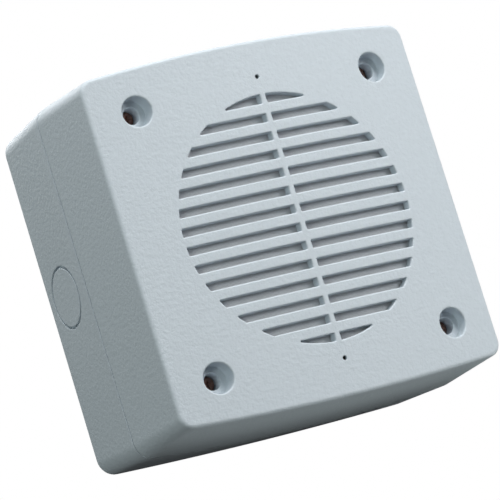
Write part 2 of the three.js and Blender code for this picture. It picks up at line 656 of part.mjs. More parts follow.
// The corrugated centring disc between the basket's ledge and the coil.
function speakerSpider() {
  const mid = BASKET_LEDGE_Y - GAP - SPIDER_WAVE;
  const waveEnd = BASKET_LEDGE_INNER_RADIUS - SPIDER_WAVE;
  const steps = 2 * SPIDER_WAVES;
  const wave = (shift) => {
    const points = [];
    for (let step = 0; step <= steps; step += 1) {
      const radius = SPIDER_INNER_RADIUS + (waveEnd - SPIDER_INNER_RADIUS) * step / steps;
      const isEnd = step === 0 || step === steps;
      const side = step % 2 ? 1 : -1;
      points.push([radius, mid + (isEnd ? 0 : side * SPIDER_WAVE) + shift]);
    }
    return points;
  };
  const half = SPIDER_THICKNESS / 2;
  return turned([
    ...wave(-half), [SPIDER_OUTER_RADIUS, mid - half], [SPIDER_OUTER_RADIUS, mid + half],
    ...wave(half).reverse(),
  ], MEDIUM_SIDES);
}

function poleYoke() {
  return turned([
    [0, TOP_PLATE_Y], [POLE_RADIUS, TOP_PLATE_Y], [POLE_RADIUS, YOKE_Y],
    [TOP_PLATE_RADIUS, YOKE_Y], [TOP_PLATE_RADIUS, YOKE_Y + YOKE_THICKNESS],
    [0, YOKE_Y + YOKE_THICKNESS],
  ]);
}

// A flat steel clamp that bridges from a cover boss to the loudspeaker's rim.
function speakerClamp([sx, sz]) {
  const strap = solid(block(CLAMP_INNER, CLAMP_OUTER, CLAMP_FRONT_Y, CLAMP_REAR_Y,
    -CLAMP_WIDTH / 2, CLAMP_WIDTH / 2));
  const hole = solid(bar(CLAMP_SCREW_RADIUS + GAP, -FAR, 0, CLAMP_BOLT_CIRCLE, 0));
  return geometryOf(strap.subtract(hole)).rotateY(-Math.atan2(sz, sx));
}

// A lead from a loudspeaker tag down to the driver board.
function speakerLead(side) {
  const points = LEAD_PATH.map(([x, y, z]) => new THREE.Vector3(side * x, y, z));
  const shape = new THREE.Shape().absarc(0, 0, LEAD_RADIUS, 0, 2 * Math.PI);
  return new THREE.ExtrudeGeometry(shape, {
    steps: LEAD_STEPS, curveSegments: PROFILE_STEPS, extrudePath: new THREE.CatmullRomCurve3(points),
  });
}

// ---- Driver board ----

function driverBoard() {
  const sheet = solid(block(-BOARD_HALF_WIDTH, BOARD_HALF_WIDTH, BOARD_FRONT_Y, BOARD_REAR_Y,
    BOARD_BOTTOM, BOARD_TOP));
  const holes = boardPosts().map(([x, z]) => solid(bar(BOARD_HOLE_RADIUS, -FAR, 0, x, z)));
  return geometryOf(sheet.subtract(join(holes)));
}

// A chip standing on two rows of legs.
function toneChip() {
  const { x, z, length, width, height, standoff, legs, legPitch, leg } = CHIP;
  const rear = COMPONENT_Y - standoff;
  const front = rear - height;
  const body = solid(block(x - length / 2, x + length / 2, front, rear, z - width / 2, z + width / 2));
  const parts = [body];
  for (let i = 0; i < legs; i += 1) {
    const legX = x + (i - (legs - 1) / 2) * legPitch;
    for (const edge of [z - width / 2, z + width / 2]) {
      parts.push(solid(block(legX - leg / 2, legX + leg / 2, front + height / 2, COMPONENT_Y,
        edge - leg / 2, edge + leg / 2)));
    }
  }
  return geometryOf(join(parts));
}

// A power transistor standing on three legs, with its drilled cooling tab.
function powerTransistor(z) {
  const { x, width, bodyHeight, bodyThickness, tabHeight, tabThickness, tabHole } = TRANSISTOR;
  const { standoff, legPitch, legWidth, legThickness } = TRANSISTOR;
  const foot = COMPONENT_Y - standoff;
  const bodyTop = foot - bodyHeight;
  const tabTop = bodyTop - tabHeight;
  const tabHalf = width / 2 - GAP;
  const legX = x + (bodyThickness - legThickness) / 2;
  const body = solid(block(x, x + bodyThickness, bodyTop, foot, z - width / 2, z + width / 2));
  const tab = solid(block(x, x + tabThickness, tabTop, bodyTop + 1, z - tabHalf, z + tabHalf));
  const legs = [-legPitch, 0, legPitch].map((shift) => solid(block(legX, legX + legThickness,
    foot - 1, COMPONENT_Y, z + shift - legWidth / 2, z + shift + legWidth / 2)));
  const hole = new THREE.CylinderGeometry(tabHole, tabHole, 4 * tabThickness, SMALL_SIDES)
    .rotateZ(Math.PI / 2).translate(x, (tabTop + bodyTop) / 2, z);
  return geometryOf(join([body, tab, ...legs]).subtract(solid(hole)));
}

// A can capacitor with a rolled groove near its foot and a bevelled top.
function canCapacitor({ x, z, radius, height }) {
  const top = COMPONENT_Y - height;
  const groove = COMPONENT_Y - CAN_GROOVE_HEIGHT;
  return turned([
    [0, top], [radius - CAN_BEVEL, top], [radius, top + CAN_BEVEL],
    [radius, groove - CAN_BEVEL], [radius - CAN_BEVEL, groove], [radius, groove + CAN_BEVEL],
    [radius, COMPONENT_Y], [0, COMPONENT_Y],
  ], MEDIUM_SIDES, x, z);
}

// A resistor lying along Z on two bent legs.
function resistor(x) {
  const { z, radius, length, span, wire, height } = RESISTOR;
  const y = COMPONENT_Y - height;
  const half = wire / 2;
  const body = new THREE.CylinderGeometry(radius, radius, length, SMALL_SIDES)
    .rotateX(Math.PI / 2).translate(x, y, z);
  const lead = block(x - half, x + half, y - half, y + half, z - span / 2, z + span / 2);
  const legs = [z - span / 2 + half, z + span / 2 - half].map((legZ) =>
    solid(block(x - half, x + half, y - half, COMPONENT_Y, legZ - half, legZ + half)));
  return geometryOf(join([solid(body), solid(lead), ...legs]));
}

const terminalX = (TERMINAL.x0 + TERMINAL.x1) / 2;
const terminalFront = COMPONENT_Y - TERMINAL.height;
const terminalZ = (way) => TERMINAL.z + (way - (TERMINAL.ways - 1) / 2) * TERMINAL.pitch;

// The terminal block: a wire mouth at the left of each way and a screw well in its front.
function terminalBlock() {
  const { x0, x1, pitch, ways, chamfer, mouthDepth, mouthWidth } = TERMINAL;
  const { mouthLow, mouthHigh, wellRadius, wellDepth } = TERMINAL;
  const half = ways * pitch / 2;
  const body = solid(block(x0, x1, terminalFront, COMPONENT_Y, TERMINAL.z - half, TERMINAL.z + half));
  const edge = new THREE.BoxGeometry(chamfer, chamfer, 4 * half).rotateZ(Math.PI / 4);
  const cuts = [solid(edge.translate(x0, terminalFront, TERMINAL.z))];
  for (let way = 0; way < ways; way += 1) {
    const z = terminalZ(way);
    cuts.push(solid(block(x0 - 1, x0 + mouthDepth, COMPONENT_Y - mouthHigh, COMPONENT_Y - mouthLow,
      z - mouthWidth / 2, z + mouthWidth / 2)));
    cuts.push(solid(bar(wellRadius, terminalFront - 1, terminalFront + wellDepth, terminalX, z)));
  }
  return geometryOf(body.subtract(join(cuts)));
}

function terminalScrew(way) {
  const { screwRadius, screwLength, screwInset, screwSlot } = TERMINAL;
  const front = terminalFront + screwInset;
  const z = terminalZ(way);
  const head = solid(bar(screwRadius, front, front + screwLength, terminalX, z));
  const slot = solid(block(terminalX - 2 * screwRadius, terminalX + 2 * screwRadius, front - 1,
    front + screwSlot, z - screwSlot / 2, z + screwSlot / 2));
  return geometryOf(head.subtract(slot));
}

// ---- Tamper switch ----

function tamperSwitch() {
  const body = solid(block(TAMPER_X - TAMPER_BODY_WIDTH / 2, TAMPER_X + TAMPER_BODY_WIDTH / 2,
    TAMPER_BODY_FRONT_Y, COMPONENT_Y, TAMPER_Z - TAMPER_BODY_HEIGHT / 2,
    TAMPER_Z + TAMPER_BODY_HEIGHT / 2));
  const bore = solid(bar(TAMPER_BORE_RADIUS, -FAR, TAMPER_BORE_END_Y, TAMPER_X, TAMPER_Z));
  return geometryOf(body.subtract(bore));
}

// The button that the cover's post holds down, with the collar that its spring pushes on.
function tamperPlunger() {
  const collarFront = TAMPER_COLLAR_Y - TAMPER_COLLAR_THICKNESS;
  return turned([
    [0, TAMPER_TIP_Y], [TAMPER_PLUNGER_RADIUS - TAMPER_TIP_BEVEL, TAMPER_TIP_Y],
    [TAMPER_PLUNGER_RADIUS, TAMPER_TIP_Y + TAMPER_TIP_BEVEL],
    [TAMPER_PLUNGER_RADIUS, collarFront], [TAMPER_COLLAR_RADIUS, collarFront],
    [TAMPER_COLLAR_RADIUS, TAMPER_COLLAR_Y], [TAMPER_PLUNGER_RADIUS, TAMPER_COLLAR_Y],
    [TAMPER_PLUNGER_RADIUS, TAMPER_PLUNGER_REAR_Y], [0, TAMPER_PLUNGER_REAR_Y],
  ], SMALL_SIDES, TAMPER_X, TAMPER_Z);
}

class Helix extends THREE.Curve {
  constructor(radius, turns, y0, y1, x, z) {
    super();
    Object.assign(this, { radius, turns, y0, y1, x, z });
  }

  getPoint(t, target = new THREE.Vector3()) {
    const angle = 2 * Math.PI * this.turns * t;
    const y = this.y0 + (this.y1 - this.y0) * t;
    return target.set(this.x + this.radius * Math.cos(angle), y, this.z + this.radius * Math.sin(angle));
  }
}

function tamperSpring() {
  const rear = TAMPER_BODY_FRONT_Y - GAP - TAMPER_SPRING_WIRE;
  const front = TAMPER_COLLAR_Y + 3 * GAP + TAMPER_SPRING_WIRE;
  const path = new Helix(TAMPER_SPRING_RADIUS, TAMPER_SPRING_TURNS, rear, front, TAMPER_X, TAMPER_Z);
  const shape = new THREE.Shape().absarc(0, 0, TAMPER_SPRING_WIRE, 0, 2 * Math.PI);
  return new THREE.ExtrudeGeometry(shape, {
    steps: TAMPER_SPRING_TURNS * SPRING_STEPS_PER_TURN,
    curveSegments: SPRING_WIRE_STEPS,
    extrudePath: path,
  });
}

// ---- Assembly ----

const siren = new THREE.Group();

function place(name, geometry, material, parent = siren) {
  const mesh = new THREE.Mesh(closed(geometry), material);
  mesh.name = name;
  mesh.geometry.computeVertexNormals();
  parent.add(mesh);
  return mesh;
}

place('front_cover', frontCover(), HOUSING_PLASTIC);
place('rear_base', rearBase(), HOUSING_PLASTIC);
place('grille_cloth', grilleCloth(), CLOTH);
corners.forEach(([sx, sz], i) => {
  place(`cover_screw_${i + 1}`, coverScrew(sx * SCREW_X, sz * SCREW_X), BRONZED_STEEL);
});

const loudspeaker = new THREE.Group();
siren.add(loudspeaker);
place('speaker_gasket', ring(GASKET_INNER_RADIUS, GASKET_OUTER_RADIUS, GASKET_FRONT_Y,
  GASKET_FRONT_Y + GASKET_THICKNESS), FOAM, loudspeaker);
place('speaker_surround', speakerSurround(), RUBBER, loudspeaker);
place('speaker_basket', speakerBasket(), PRESSED_STEEL, loudspeaker);
place('speaker_cone', speakerCone(), PAPER, loudspeaker);
place('speaker_dust_cap', dustCap(), PAPER, loudspeaker);
place('voice_coil', voiceCoil(), COPPER, loudspeaker);
place('speaker_spider', speakerSpider(), SPIDER_CLOTH, loudspeaker);
place('top_plate', ring(TOP_PLATE_BORE_RADIUS, TOP_PLATE_RADIUS, TOP_PLATE_Y,
  TOP_PLATE_Y + TOP_PLATE_THICKNESS), ZINC_STEEL, loudspeaker);
place('magnet_ring', ring(MAGNET_BORE_RADIUS, MAGNET_RADIUS, MAGNET_Y,
  MAGNET_Y + MAGNET_THICKNESS), FERRITE, loudspeaker);
place('pole_yoke', poleYoke(), ZINC_STEEL, loudspeaker);
corners.forEach((corner, i) => {
  const [x, z] = clampPlace(corner);
  place(`speaker_clamp_${i + 1}`, speakerClamp(corner), ZINC_STEEL, loudspeaker);
  place(`clamp_screw_${i + 1}`, screw(x, z, CLAMP_REAR_Y + GAP + CLAMP_SCREW_HEAD_HEIGHT,
    CLAMP_SCREW_HEAD_HEIGHT, CLAMP_SCREW_HEAD_RADIUS, CLAMP_SCREW_RADIUS, CLAMP_SCREW_TIP_Y),
  ZINC_STEEL, loudspeaker);
});
const tagBoardRear = CLAMP_FRONT_Y + TAG_BOARD_THICKNESS;
place('speaker_tag_board', block(-TAG_BOARD_WIDTH / 2, TAG_BOARD_WIDTH / 2, CLAMP_FRONT_Y,
  tagBoardRear, TAG_BOARD_BOTTOM, TAG_BOARD_TOP), PHENOLIC, loudspeaker);
[-1, 1].forEach((side, i) => {
  place(`speaker_tag_${i + 1}`, block(side * TAG_X - TAG_WIDTH / 2, side * TAG_X + TAG_WIDTH / 2,
    tagBoardRear + GAP, tagBoardRear + GAP + TAG_THICKNESS, TAG_BOTTOM, TAG_BOTTOM + TAG_LENGTH),
  TINNED, loudspeaker);
});
place('speaker_lead_red', speakerLead(1), RED_PVC);
place('speaker_lead_black', speakerLead(-1), BLACK_PVC);

const driver = new THREE.Group();
siren.add(driver);
place('driver_board', driverBoard(), BOARD_GREEN, driver);
place('tone_chip', toneChip(), BLACK_EPOXY, driver);
TRANSISTOR.z.forEach((z, i) => {
  place(`power_transistor_${i + 1}`, powerTransistor(z), BLACK_EPOXY, driver);
});
place('reservoir_capacitor', canCapacitor(RESERVOIR_CAPACITOR), CAPACITOR_SLEEVE, driver);
place('coupling_capacitor', canCapacitor(COUPLING_CAPACITOR), CAPACITOR_SLEEVE, driver);
RESISTOR.x.forEach((x, i) => {
  place(`resistor_${i + 1}`, resistor(x), RESISTOR_BODY, driver);
});
place('terminal_block', terminalBlock(), TERMINAL_GREEN, driver);
for (let way = 0; way < TERMINAL.ways; way += 1) {
  place(`terminal_screw_${way + 1}`, terminalScrew(way), ZINC_STEEL, driver);
}
boardPosts().forEach(([x, z], i) => {
  place(`board_screw_${i + 1}`, screw(x, z, COMPONENT_Y - BOARD_SCREW_HEAD_HEIGHT,
    BOARD_SCREW_HEAD_HEIGHT, BOARD_SCREW_HEAD_RADIUS, BOARD_SCREW_RADIUS, BOARD_SCREW_TIP_Y),
  ZINC_STEEL, driver);
});
place('tamper_switch', tamperSwitch(), BLACK_EPOXY, driver);
place('tamper_plunger', tamperPlunger(), RED_PVC, driver);
place('tamper_spring', tamperSpring(), SPRING_STEEL, driver);

export default siren;
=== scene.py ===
# The looks of the alarm siren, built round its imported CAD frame. Lengths are in millimetres in
# the mesh code and turned into metres when a mesh is made. X runs to the right of someone facing
# the siren, Y from the louvred front to the wall, and Z up.

import json
import math

import bmesh
import bpy
from mathutils import Matrix, Vector
from mathutils.geometry import delaunay_2d_cdt


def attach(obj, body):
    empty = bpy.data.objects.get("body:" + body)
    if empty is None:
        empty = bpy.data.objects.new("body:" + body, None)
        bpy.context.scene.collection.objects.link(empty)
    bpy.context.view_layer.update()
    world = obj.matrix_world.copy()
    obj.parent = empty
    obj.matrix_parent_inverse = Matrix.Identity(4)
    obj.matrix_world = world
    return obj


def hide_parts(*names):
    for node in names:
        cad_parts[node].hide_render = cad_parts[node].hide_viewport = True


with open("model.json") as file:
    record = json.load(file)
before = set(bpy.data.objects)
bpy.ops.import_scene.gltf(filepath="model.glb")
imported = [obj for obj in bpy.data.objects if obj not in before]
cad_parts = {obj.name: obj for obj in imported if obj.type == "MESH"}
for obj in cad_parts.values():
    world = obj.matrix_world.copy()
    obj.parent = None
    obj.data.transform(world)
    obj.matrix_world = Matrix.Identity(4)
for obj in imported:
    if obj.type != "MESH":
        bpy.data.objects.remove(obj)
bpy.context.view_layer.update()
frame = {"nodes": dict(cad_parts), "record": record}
scene = bpy.context.scene
MM = 0.001

# ---- Camera, floor and lights ----

CAMERA_PLACE = (-0.51205, -0.93232, -0.15915)
CAMERA_RIGHT = (0.8528, -0.4329, -0.2921)
CAMERA_UP = (0.1857, -0.2715, 0.9443)
CAMERA_BACK = (-0.4881, -0.8596, -0.1512)
CAMERA_LENS = 241.97


def make_camera():
    data = bpy.data.cameras.new("camera")
    data.lens = CAMERA_LENS
    data.clip_start = 0.05
    data.clip_end = 60
    camera = bpy.data.objects.new("camera", data)
    scene.collection.objects.link(camera)
    axes = Matrix((CAMERA_RIGHT, CAMERA_UP, CAMERA_BACK)).transposed()
    camera.matrix_world = Matrix.Translation(CAMERA_PLACE) @ axes.to_4x4()
    scene.camera = camera


make_camera()

FLOOR_Z = -0.21
FLOOR_HALF = 12
FLAG_Z = -0.1
FLAG_HALF = 0.12
FLAG_FRONT_Y = -0.043
FLAG_REAR_Y = 0.06
WORLD_GLOW = 0.05
FAR = 1.6
NEAR = 0.75
LARGE = 0.8
MEDIUM = 0.5
SMALL = 0.4


def area_light(name, azimuth, elevation, distance, size, power, color=(1, 1, 1)):
    """A soft round light that shines at the siren, in metres and watts. Azimuth 0 is in front of
    its louvres, 90 to its right."""
    data = bpy.data.lights.new(name, "AREA")
    data.shape = "DISK"
    data.size = size
    data.energy = power
    data.color = color
    light = bpy.data.objects.new(name, data)
    scene.collection.objects.link(light)
    around, up = math.radians(azimuth), math.radians(elevation)
    level = math.cos(up)
    place = distance * Vector((math.sin(around) * level, -math.cos(around) * level, math.sin(up)))
    light.location = place
    light.rotation_mode = "QUATERNION"
    light.rotation_quaternion = place.to_track_quat("Z", "Y")
    light.visible_camera = False


def make_world():
    """White behind the siren, and a weak even light round it."""
    world = bpy.data.worlds.new("studio")
    scene.world = world
    world.use_nodes = True
    tree = world.node_tree
    tree.nodes.clear()
    output = tree.nodes.new("ShaderNodeOutputWorld")
    mix = tree.nodes.new("ShaderNodeMixShader")
    path = tree.nodes.new("ShaderNodeLightPath")
    seen = tree.nodes.new("ShaderNodeBackground")
    seen.inputs["Color"].default_value = (1, 1, 1, 1)
    seen.inputs["Strength"].default_value = 1
    glow = tree.nodes.new("ShaderNodeBackground")
    glow.inputs["Color"].default_value = (1, 1, 1, 1)
    glow.inputs["Strength"].default_value = WORLD_GLOW
    tree.links.new(path.outputs["Is Camera Ray"], mix.inputs["Fac"])
    tree.links.new(glow.outputs["Background"], mix.inputs[1])
    tree.links.new(seen.outputs["Background"], mix.inputs[2])
    tree.links.new(mix.outputs["Shader"], output.inputs["Surface"])


def flat_sheet(name, paint, half_width, front_y, rear_y, z, color):
    """A level, matt sheet of the stage. Returns the object and its shader."""
    mesh = bpy.data.meshes.new(name)
    corners = [(-half_width, front_y, z), (half_width, front_y, z),
               (half_width, rear_y, z), (-half_width, rear_y, z)]
    mesh.from_pydata(corners, [], [(0, 1, 2, 3)])
    sheet = bpy.data.objects.new(name, mesh)
    scene.collection.objects.link(sheet)
    material = bpy.data.materials.new(paint)
    material.use_nodes = True
    shader = material.node_tree.nodes["Principled BSDF"]
    shader.inputs["Base Color"].default_value = (*color, 1)
    shader.inputs["Roughness"].default_value = 1
    mesh.materials.append(material)
    return sheet, shader


def make_floor():
    """A plain pale floor well below the siren, which hangs on a wall. It shines evenly to the
    camera, and throws no light or shadow on to the siren."""
    floor, shader = flat_sheet("floor", "floor_paint", FLOOR_HALF, -FLOOR_HALF, FLOOR_HALF, FLOOR_Z,
                               (0.05, 0.05, 0.05))
    shader.inputs["Specular IOR Level"].default_value = 0
    shader.inputs["Emission Color"].default_value = (0.78, 0.79, 0.8, 1)
    shader.inputs["Emission Strength"].default_value = 1
    floor.visible_diffuse = False
    floor.visible_glossy = False
    floor.visible_shadow = False


def make_flag():
    """A black card under the back of the siren that keeps light off the rear of its underside."""
    flag, _ = flat_sheet("flag", "flag_cloth", FLAG_HALF, FLAG_FRONT_Y, FLAG_REAR_Y, FLAG_Z,
                         (0.01, 0.01, 0.01))
    flag.visible_camera = False


scene.view_settings.view_transform = "Standard"
make_world()
make_floor()
area_light("key", 28, 32, NEAR, SMALL, 2, (1, 0.98, 0.96))
area_light("front", 30, 12, FAR, MEDIUM, 4.9, (0.98, 1, 1.01))
area_light("top", -15, 55, FAR, LARGE, 9.8, (0.98, 1, 1.01))
area_light("overhead", -10, 84, FAR, LARGE, 13)
area_light("left_fill", -50, 6, FAR, MEDIUM, 4.6, (0.9, 1, 0.96))
area_light("left_side", -100, -12, FAR, LARGE, 3.5, (0.91, 1, 0.98))
area_light("low_right", 85, -35, FAR, LARGE, 11, (0.93, 1, 0.97))
area_light("top_left", -100, 65, FAR, LARGE, 2.4)
area_light("behind", 180, 30, FAR, LARGE, 8)
make_flag()

# ---- Housing dimensions ----

BASE_DEPTH = 30
COVER_DEPTH = 32
FACE_BOW = 4.4
FACE_OUTLINE = {"width": 115, "height": 109.6, "bow": 2.2, "radius": 4.5}
SEAM_OUTLINE = {"width": 116.5, "height": 113.1, "bow": 2.15, "radius": 5.5}
REAR_OUTLINE = {"width": 114.8, "height": 110.7, "bow": 0.75, "radius": 5.5}
SIDE_WALL = 2.5
FACE_WALL = 3.2
GAP = 0.3
LIP_HEIGHT = 2.2
LIP_THICKNESS = 1.05
EDGE_RADIUS = 1.1
SEAM_EDGE_RADIUS = 0.12
SEAM_SETBACK = 0.3
REAR_EDGE_RADIUS = 1.2

GRILLE_RADIUS = 39.6
LOUVRE_ROWS = 14
LOUVRE_PITCH = 5.87
LOUVRE_SLOT = 2.6
LOUVRE_DROP = 0.2
GRILLE_RIB_WIDTH = 2
LOUVRE_EDGE_RADIUS = 0.5
LOUVRE_UNDERSIDE_RADIUS = 0.3
SLAT_THICKNESS = 3
LOUVRE_CORNER_RADIUS = 0.25
PINHOLE_RADIUS = 0.72
PINHOLE_SPACING = 90.4
PINHOLE_LIP_RADIUS = 0.08
PINHOLE_WEB = 0.6
PINHOLE_POCKET_RADIUS = 1.7

SCREW_SPACING = 84
WELL_RADIUS = 4.8
WELL_DEPTH = 4.6
WELL_BOSS_RADIUS = 6.2
WELL_LIP_RADIUS = 0.45
WELL_FLOOR_RADIUS = 0.35
HEAD_BORE_RADIUS = 2.7
HEAD_BORE_DEPTH = 3.2
HEAD_BORE_LIP_RADIUS = 0.25
SCREW_HEAD_HEIGHT = 2
SCREW_HEAD_RADIUS = 2.4
SCREW_HEAD_DOME = 0.55
SCREW_HEAD_EDGE_RADIUS = 0.35
SCREW_HEAD_RINGS = (1.7, 1.9)
SCREW_RECESS_ARM = 1.45
SCREW_RECESS_HALF_WIDTH = 0.36
SCREW_RECESS_DEPTH = 1
SCREW_RECESS_STEP_DEPTH = 0.35
SCREW_THREAD_RADIUS = 1.4
SCREW_THREAD_ROOT = 1.1
SCREW_THREAD_PITCH = 1.2
SCREW_PLAIN_NECK = 1
SCREW_LENGTH = 36
SCREW_POINT_LENGTH = 2.5
SHANK_BORE_RADIUS = 1.7
PILLAR_RADIUS = 4.5
PILOT_DEPTH = 15

KNOCKOUT_RADIUS = 10
KNOCKOUT_GROOVE_WIDTH = 0.8
KNOCKOUT_GROOVE_DEPTH = 1.3
KNOCKOUT_GROOVE_LIP_RADIUS = 0.14
KNOCKOUT_Y = -13.9
REAR_KNOCKOUT_Z = -41
CABLE_ENTRY_X = -44
CABLE_ENTRY_WIDTH = 12
CABLE_ENTRY_LENGTH = 22
CABLE_ENTRY_LIP_RADIUS = 0.4
WALL_HOLE_RADIUS = 2.25
WALL_HOLE_LIP_RADIUS = 0.2
WALL_HOLE_X = 45
WALL_HOLE_Z = 26

SEAT_Y = -58.5
SEAT_INNER_RADIUS = 40.6
SEAT_OUTER_RADIUS = 43
CLAMP_REACH = 50 / math.sqrt(2)
CLAMP_BOSS_RADIUS = 3
CLAMP_BOSS_END_Y = -55.1
CLAMP_HOLE_RADIUS = 1.3
CLAMP_HOLE_END_Y = -60.3
TAMPER_POST = (16, 46.5)
TAMPER_POST_RADIUS = 2.5
TAMPER_POST_END_Y = -23.7
BOARD_POST_X = 30.5
BOARD_POST_Z = (-26.5, 47.5)
BOARD_POST_RADIUS = 3
BOARD_POST_END_Y = -6.5
BOARD_HOLE_RADIUS = 1.3
BOARD_HOLE_END_Y = -3.3

FACE_EDGE_Y = -(BASE_DEPTH + COVER_DEPTH)
FACE_CROWN_Y = FACE_EDGE_Y - FACE_BOW
SCREW_X = SCREW_SPACING / 2

CORNER_STEPS = 8
BOW_STEPS = 20
ROUND_STEPS = 4
LOUVRE_ROUND_STEPS = 5
EDGE_ROUND_STEPS = 6
POST_STEPS = 28
SCREW_STEPS = 32
WELL_STEPS = 48
GROOVE_STEPS = 64
SEAT_STEPS = 96
FACE_GRID = 3.5
SLOT_SPACING = 3.5
SLOT_END_SPACING = 1.2
# The width of the band of quads that keeps a rounded edge's shading off the flat beside it.
GUARD = 0.3


def face_y(x):
    """The Y of the bowed face at x."""
    return FACE_CROWN_Y + FACE_BOW * (2 * x / FACE_OUTLINE["width"]) ** 2


WELL_FLOOR_Y = face_y(SCREW_X) + WELL_DEPTH
HEAD_FRONT_Y = WELL_FLOOR_Y + HEAD_BORE_DEPTH
HEAD_SEAT_Y = HEAD_FRONT_Y + SCREW_HEAD_HEIGHT + GAP
CORNERS = [(-1, 1), (1, 1), (-1, -1), (1, -1)]


# ---- Mesh helpers ----

def arc(centre, radius, start, end, steps):
    """Points of a circular arc, angles in degrees, both ends included."""
    found = []
    for step in range(steps + 1):
        angle = math.radians(start + (end - start) * step / steps)
        found.append((centre[0] + radius * math.cos(angle), centre[1] + radius * math.sin(angle)))
    return found


def circle(centre, radius, steps):
    return arc(centre, radius, 0, 360, steps)[:-1]


def bend(start, control, end, steps):
    """The inner points of a quadratic curve, without its ends."""
    found = []
    for step in range(1, steps):
        t = step / steps
        found.append(tuple((1 - t) ** 2 * a + 2 * t * (1 - t) * b + t * t * c
                           for a, b, c in zip(start, control, end)))
    return found


def outline(station, inset):
    """The housing's outline at one depth, anticlockwise from the right side's lower end."""
    radius = max(station["radius"] - inset, 0.8)
    x = station["width"] / 2 - inset
    z = station["height"] / 2 - inset
    crown = z + 2 * station["bow"]
    found = [(x, radius - z)]
    found += arc((x - radius, z - radius), radius, 0, 90, CORNER_STEPS)
    found += bend((x - radius, z), (0, crown), (radius - x, z), BOW_STEPS)
    found += arc((radius - x, z - radius), radius, 90, 180, CORNER_STEPS)
    found += arc((radius - x, radius - z), radius, 180, 270, CORNER_STEPS)
    found += bend((radius - x, -z), (0, -crown), (x - radius, -z), BOW_STEPS)
    found += arc((x - radius, radius - z), radius, 270, 360, CORNER_STEPS)[:-1]
    return found


LEFT_SIDE_START = 2 * CORNER_STEPS + BOW_STEPS + 1


def wall_loop(inset, level):
    """The housing's outline at one depth. level is a Y, or a function of the point's x."""
    seam = outline(SEAM_OUTLINE, inset)
    face = outline(FACE_OUTLINE, inset)
    rear = outline(REAR_OUTLINE, inset)
    found = []
    for here, front, back in zip(seam, face, rear):
        y = level(front[0]) if callable(level) else level
        forward = y < -BASE_DEPTH
        end = front if forward else back
        share = (-BASE_DEPTH - y) / COVER_DEPTH if forward else 1 + y / BASE_DEPTH
        x, z = (a + (b - a) * share for a, b in zip(here, end))
        found.append((x, y, z))
    return found


def rounding(radius, steps=ROUND_STEPS):
    """Pairs of (distance in from the side, depth below the top) round an outer edge, from the
    side to the top."""
    pairs = []
    for step in range(steps + 1):
        angle = math.pi / 2 * step / steps
        pairs.append((radius * (1 - math.cos(angle)), radius * (1 - math.sin(angle))))
    return pairs


def grown(loop, distance, corner_steps=3):
    """A convex anticlockwise loop moved outwards by distance, with its sharp corners rounded."""
    found = []
    count = len(loop)
    for i, point in enumerate(loop):
        before = Vector(point) - Vector(loop[i - 1])
        after = Vector(loop[(i + 1) % count]) - Vector(point)
        turn = -before.angle_signed(after)
        start = math.atan2(before.y, before.x) - math.pi / 2
        steps = corner_steps if turn > math.radians(30) else 0
        if steps == 0:
            angles = [start + turn / 2]
            reach = distance / math.cos(turn / 2)
        else:
            angles = [start + turn * step / steps for step in range(steps + 1)]
            reach = distance
        for angle in angles:
            found.append((point[0] + reach * math.cos(angle), point[1] + reach * math.sin(angle)))
    return found


class Skin:
    """Gathers the points and faces of one closed surface, in millimetres."""

    def __init__(self):
        self.points = []
        self.faces = []

    def loop(self, points):
        first = len(self.points)
        self.points.extend(points)
        return list(range(first, first + len(points)))

    def bridge(self, a, b, skipped=()):
        """Quads between two closed loops of the same length, but for the skipped stretches."""
        count = len(a)
        for i in range(count):
            if i not in skipped:
                j = (i + 1) % count
                self.faces.append((a[i], a[j], b[j], b[i]))

    def sleeve(self, loops):
        """Quads along a row of closed loops. Returns the loops' indices."""
        rows = [self.loop(points) for points in loops]
        for a, b in zip(rows, rows[1:]):
            self.bridge(a, b)
        return rows

    def cap(self, loop):
        self.faces.append(tuple(loop))

    def patch(self, borders, inner, flat, lift):
        """Triangles between border loops, the first of them round the others. flat turns a
        point into its place on the patch's plane, and lift turns a place back into a point."""
        places = []
        edges = []
        indices = []
        owners = []
        for number, border in enumerate(borders):
            first = len(places)
            places += [Vector(flat(self.points[i])) for i in border]
            indices += border
            owners += [number] * len(border)
            edges += [(first + i, first + (i + 1) % len(border)) for i in range(len(border))]
        places += [Vector(place) for place in inner]
        indices += self.loop([lift(place) for place in inner])
        owners += [0] * len(inner)
        _, _, faces, sources, _, _ = delaunay_2d_cdt(places, edges, [], 1, 1e-5)
        for face in faces:
            at = [sources[i][0] for i in face]
            around = {owners[i] for i in at}
            fills_a_hole = len(around) == 1 and around != {0}
            if not fills_a_hole:
                self.faces.append(tuple(indices[i] for i in at))

    def piece(self, name, material, smooth_angle=35):
        """Makes the object, in metres, smooth but for edges sharper than smooth_angle."""
        mesh = bpy.data.meshes.new(name)
        mesh.from_pydata([Vector(p) * MM for p in self.points], [], self.faces)
        mesh.materials.append(material)
        finish_mesh(mesh, smooth_angle)
        made = bpy.data.objects.new(name, mesh)
        scene.collection.objects.link(made)
        return made


def finish_mesh(mesh, smooth_angle):
    work = bmesh.new()
    work.from_mesh(mesh)
    bmesh.ops.delete(work, geom=[v for v in work.verts if not v.link_faces], context="VERTS")
    bmesh.ops.recalc_face_normals(work, faces=work.faces)
    limit = math.radians(smooth_angle)
    for edge in work.edges:
        edge.smooth = len(edge.link_faces) == 2 and edge.calc_face_angle(0) < limit
    for face in work.faces:
        face.smooth = True
    work.to_mesh(mesh)
    work.free()


def grid(x_half, z_half, step, is_free):
    """Places on a square grid, where is_free says that there is room."""
    found = []
    for i in range(-int(x_half // step), int(x_half // step) + 1):
        for j in range(-int(z_half // step), int(z_half // step) + 1):
            place = (i * step, j * step)
            if is_free(*place):
                found.append(place)
    return found


# ---- Materials ----

